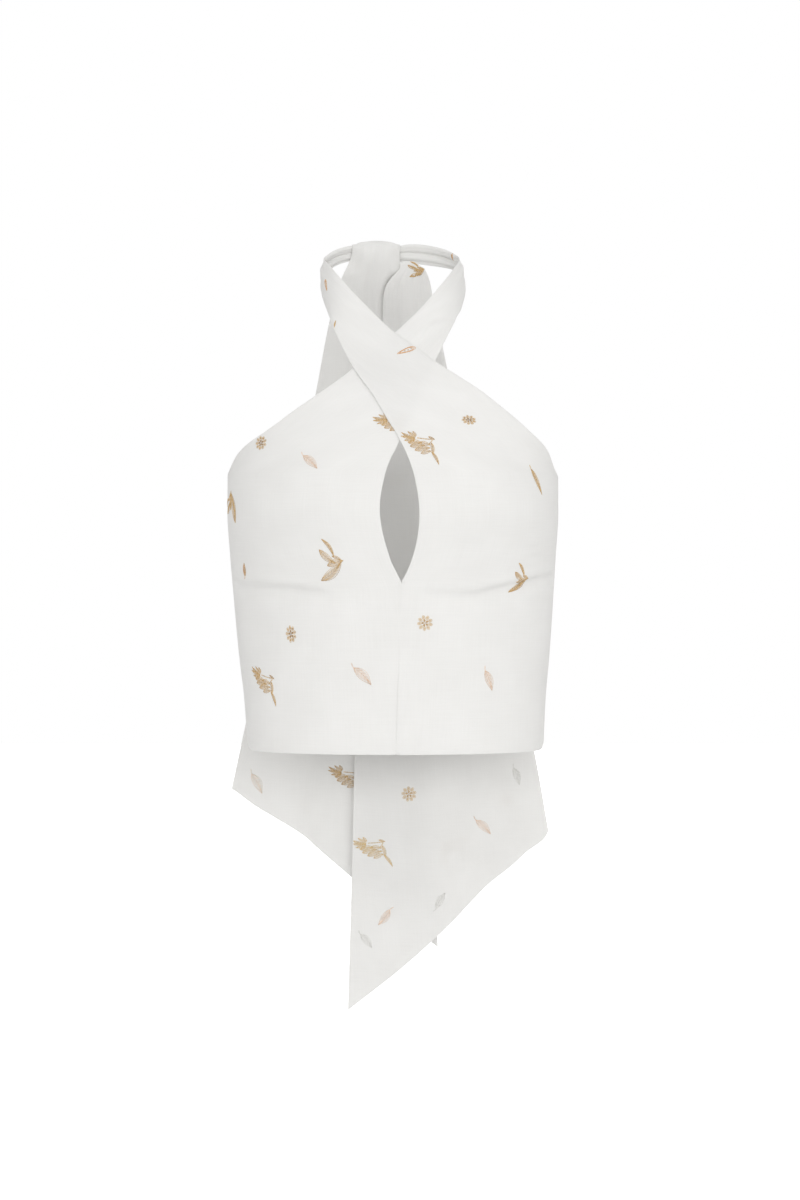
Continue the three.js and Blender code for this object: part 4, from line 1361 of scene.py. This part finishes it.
class HALTER_OT_stage(bpy.types.Operator):
    """A pale floor, soft studio light and the camera"""

    bl_idname = "halter.stage"
    bl_label = "Stage, light and camera"

    def execute(self, context):
        scene = context.scene
        sizes = scene.halter_stage
        self.floor(sizes.floor_drop)
        self.world(scene)
        self.light("front_softbox", (0.4, -3.3, 0.14), (0, 0, -0.3), 6.0, 0.75, 50)
        self.light("upper_softbox", (0.5, -1.8, 2.2), (0, 0, -0.3), 2.2, 2.2, 8)
        self.camera(scene, sizes.distance)
        scene.view_settings.view_transform = "Standard"
        return {"FINISHED"}

    def floor(self, drop):
        reach = 14.0
        mesh = bpy.data.meshes.new("pale_floor")
        corners = [(x * reach, y * reach, -drop) for x, y in ((-1, -1), (1, -1), (1, 1), (-1, 1))]
        mesh.from_pydata(corners, [], [(0, 1, 2, 3)])
        floor = bpy.data.objects.new("pale_floor", mesh)
        bpy.context.scene.collection.objects.link(floor)
        material = bpy.data.materials.new("pale_floor")
        material.use_nodes = True
        tree = material.node_tree
        plain = tree.nodes["Principled BSDF"]
        plain.inputs["Roughness"].default_value = 0.9
        seen = tree.nodes.new("ShaderNodeLightPath")
        glow = ranged(tree, seen.outputs["Is Camera Ray"], 0, 1, 0.0, 0.85)
        tree.links.new(glow, plain.inputs["Emission Strength"])
        plain.inputs["Emission Color"].default_value = (1, 1, 1, 1)
        place = tree.nodes.new("ShaderNodeTexCoord")
        grain = noise_node(tree, place.outputs["Object"], 3.0)
        pale = tree.nodes.new("ShaderNodeMix")
        pale.data_type = "RGBA"
        pale.inputs[6].default_value = (0.88, 0.88, 0.88, 1)
        pale.inputs[7].default_value = (0.92, 0.92, 0.92, 1)
        tree.links.new(grain, pale.inputs[0])
        tree.links.new(pale.outputs[2], plain.inputs["Base Color"])
        mesh.materials.append(material)

    def world(self, scene):
        world = bpy.data.worlds.new("studio")
        world.use_nodes = True
        tree = world.node_tree
        back = tree.nodes["Background"]
        back.inputs["Color"].default_value = (1, 1, 1, 1)
        seen = tree.nodes.new("ShaderNodeLightPath")
        strength = ranged(tree, seen.outputs["Is Camera Ray"], 0, 1, 0.835, 1.0)
        tree.links.new(strength, back.inputs["Strength"])
        scene.world = world

    def light(self, name, at, to, width, height, power):
        data = bpy.data.lights.new(name, "AREA")
        data.shape = "RECTANGLE"
        data.size, data.size_y, data.energy = width, height, power
        lamp = bpy.data.objects.new(name, data)
        lamp.location = at
        lamp.rotation_mode = "QUATERNION"
        lamp.rotation_quaternion = (Vector(to) - Vector(at)).to_track_quat("-Z", "Y")
        bpy.context.scene.collection.objects.link(lamp)

    def camera(self, scene, distance):
        data = bpy.data.cameras.new("camera")
        focal_pixels, long_side, sensor = 2247.0, 1200.0, 36.0
        data.sensor_width = sensor
        data.lens = sensor * focal_pixels / long_side
        camera = bpy.data.objects.new("camera", data)
        camera.location = (0.004, -distance - NAPE[1] * MM, -NAPE[2] * MM)
        camera.rotation_euler = (math.pi / 2, 0, 0)
        scene.collection.objects.link(camera)
        scene.camera = camera


OPERATORS = (HALTER_OT_stage, HALTER_OT_fronts, HALTER_OT_back, HALTER_OT_wrap, HALTER_OT_ties,
             HALTER_OT_threads)


class HALTER_PT_panel(bpy.types.Panel):
    """Lists the sizes and the steps that build the top"""

    bl_idname = "HALTER_PT_panel"
    bl_label = "Halter neck top"
    bl_space_type = "VIEW_3D"
    bl_region_type = "UI"
    bl_category = "Halter"

    def draw(self, context):
        scene = context.scene
        for group in (scene.halter_cloth, scene.halter_threads, scene.halter_stage):
            for name in group.__annotations__:
                self.layout.prop(group, name)
        for operator in OPERATORS:
            self.layout.operator(operator.bl_idname)


CLASSES = (HALTER_cloth, HALTER_threads, HALTER_stage, *OPERATORS, HALTER_PT_panel)


def register():
    for cls in CLASSES:
        bpy.utils.register_class(cls)
    bpy.types.Scene.halter_cloth = bpy.props.PointerProperty(type=HALTER_cloth)
    bpy.types.Scene.halter_threads = bpy.props.PointerProperty(type=HALTER_threads)
    bpy.types.Scene.halter_stage = bpy.props.PointerProperty(type=HALTER_stage)


def unregister():
    del bpy.types.Scene.halter_cloth
    del bpy.types.Scene.halter_threads
    del bpy.types.Scene.halter_stage
    for cls in reversed(CLASSES):
        bpy.utils.unregister_class(cls)


def main():
    register()
    bpy.ops.halter.stage()
    bpy.ops.halter.fronts()
    bpy.ops.halter.back()
    bpy.ops.halter.wrap()
    bpy.ops.halter.ties()
    bpy.ops.halter.threads()
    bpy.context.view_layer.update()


if __name__ == "__main__":
    main()
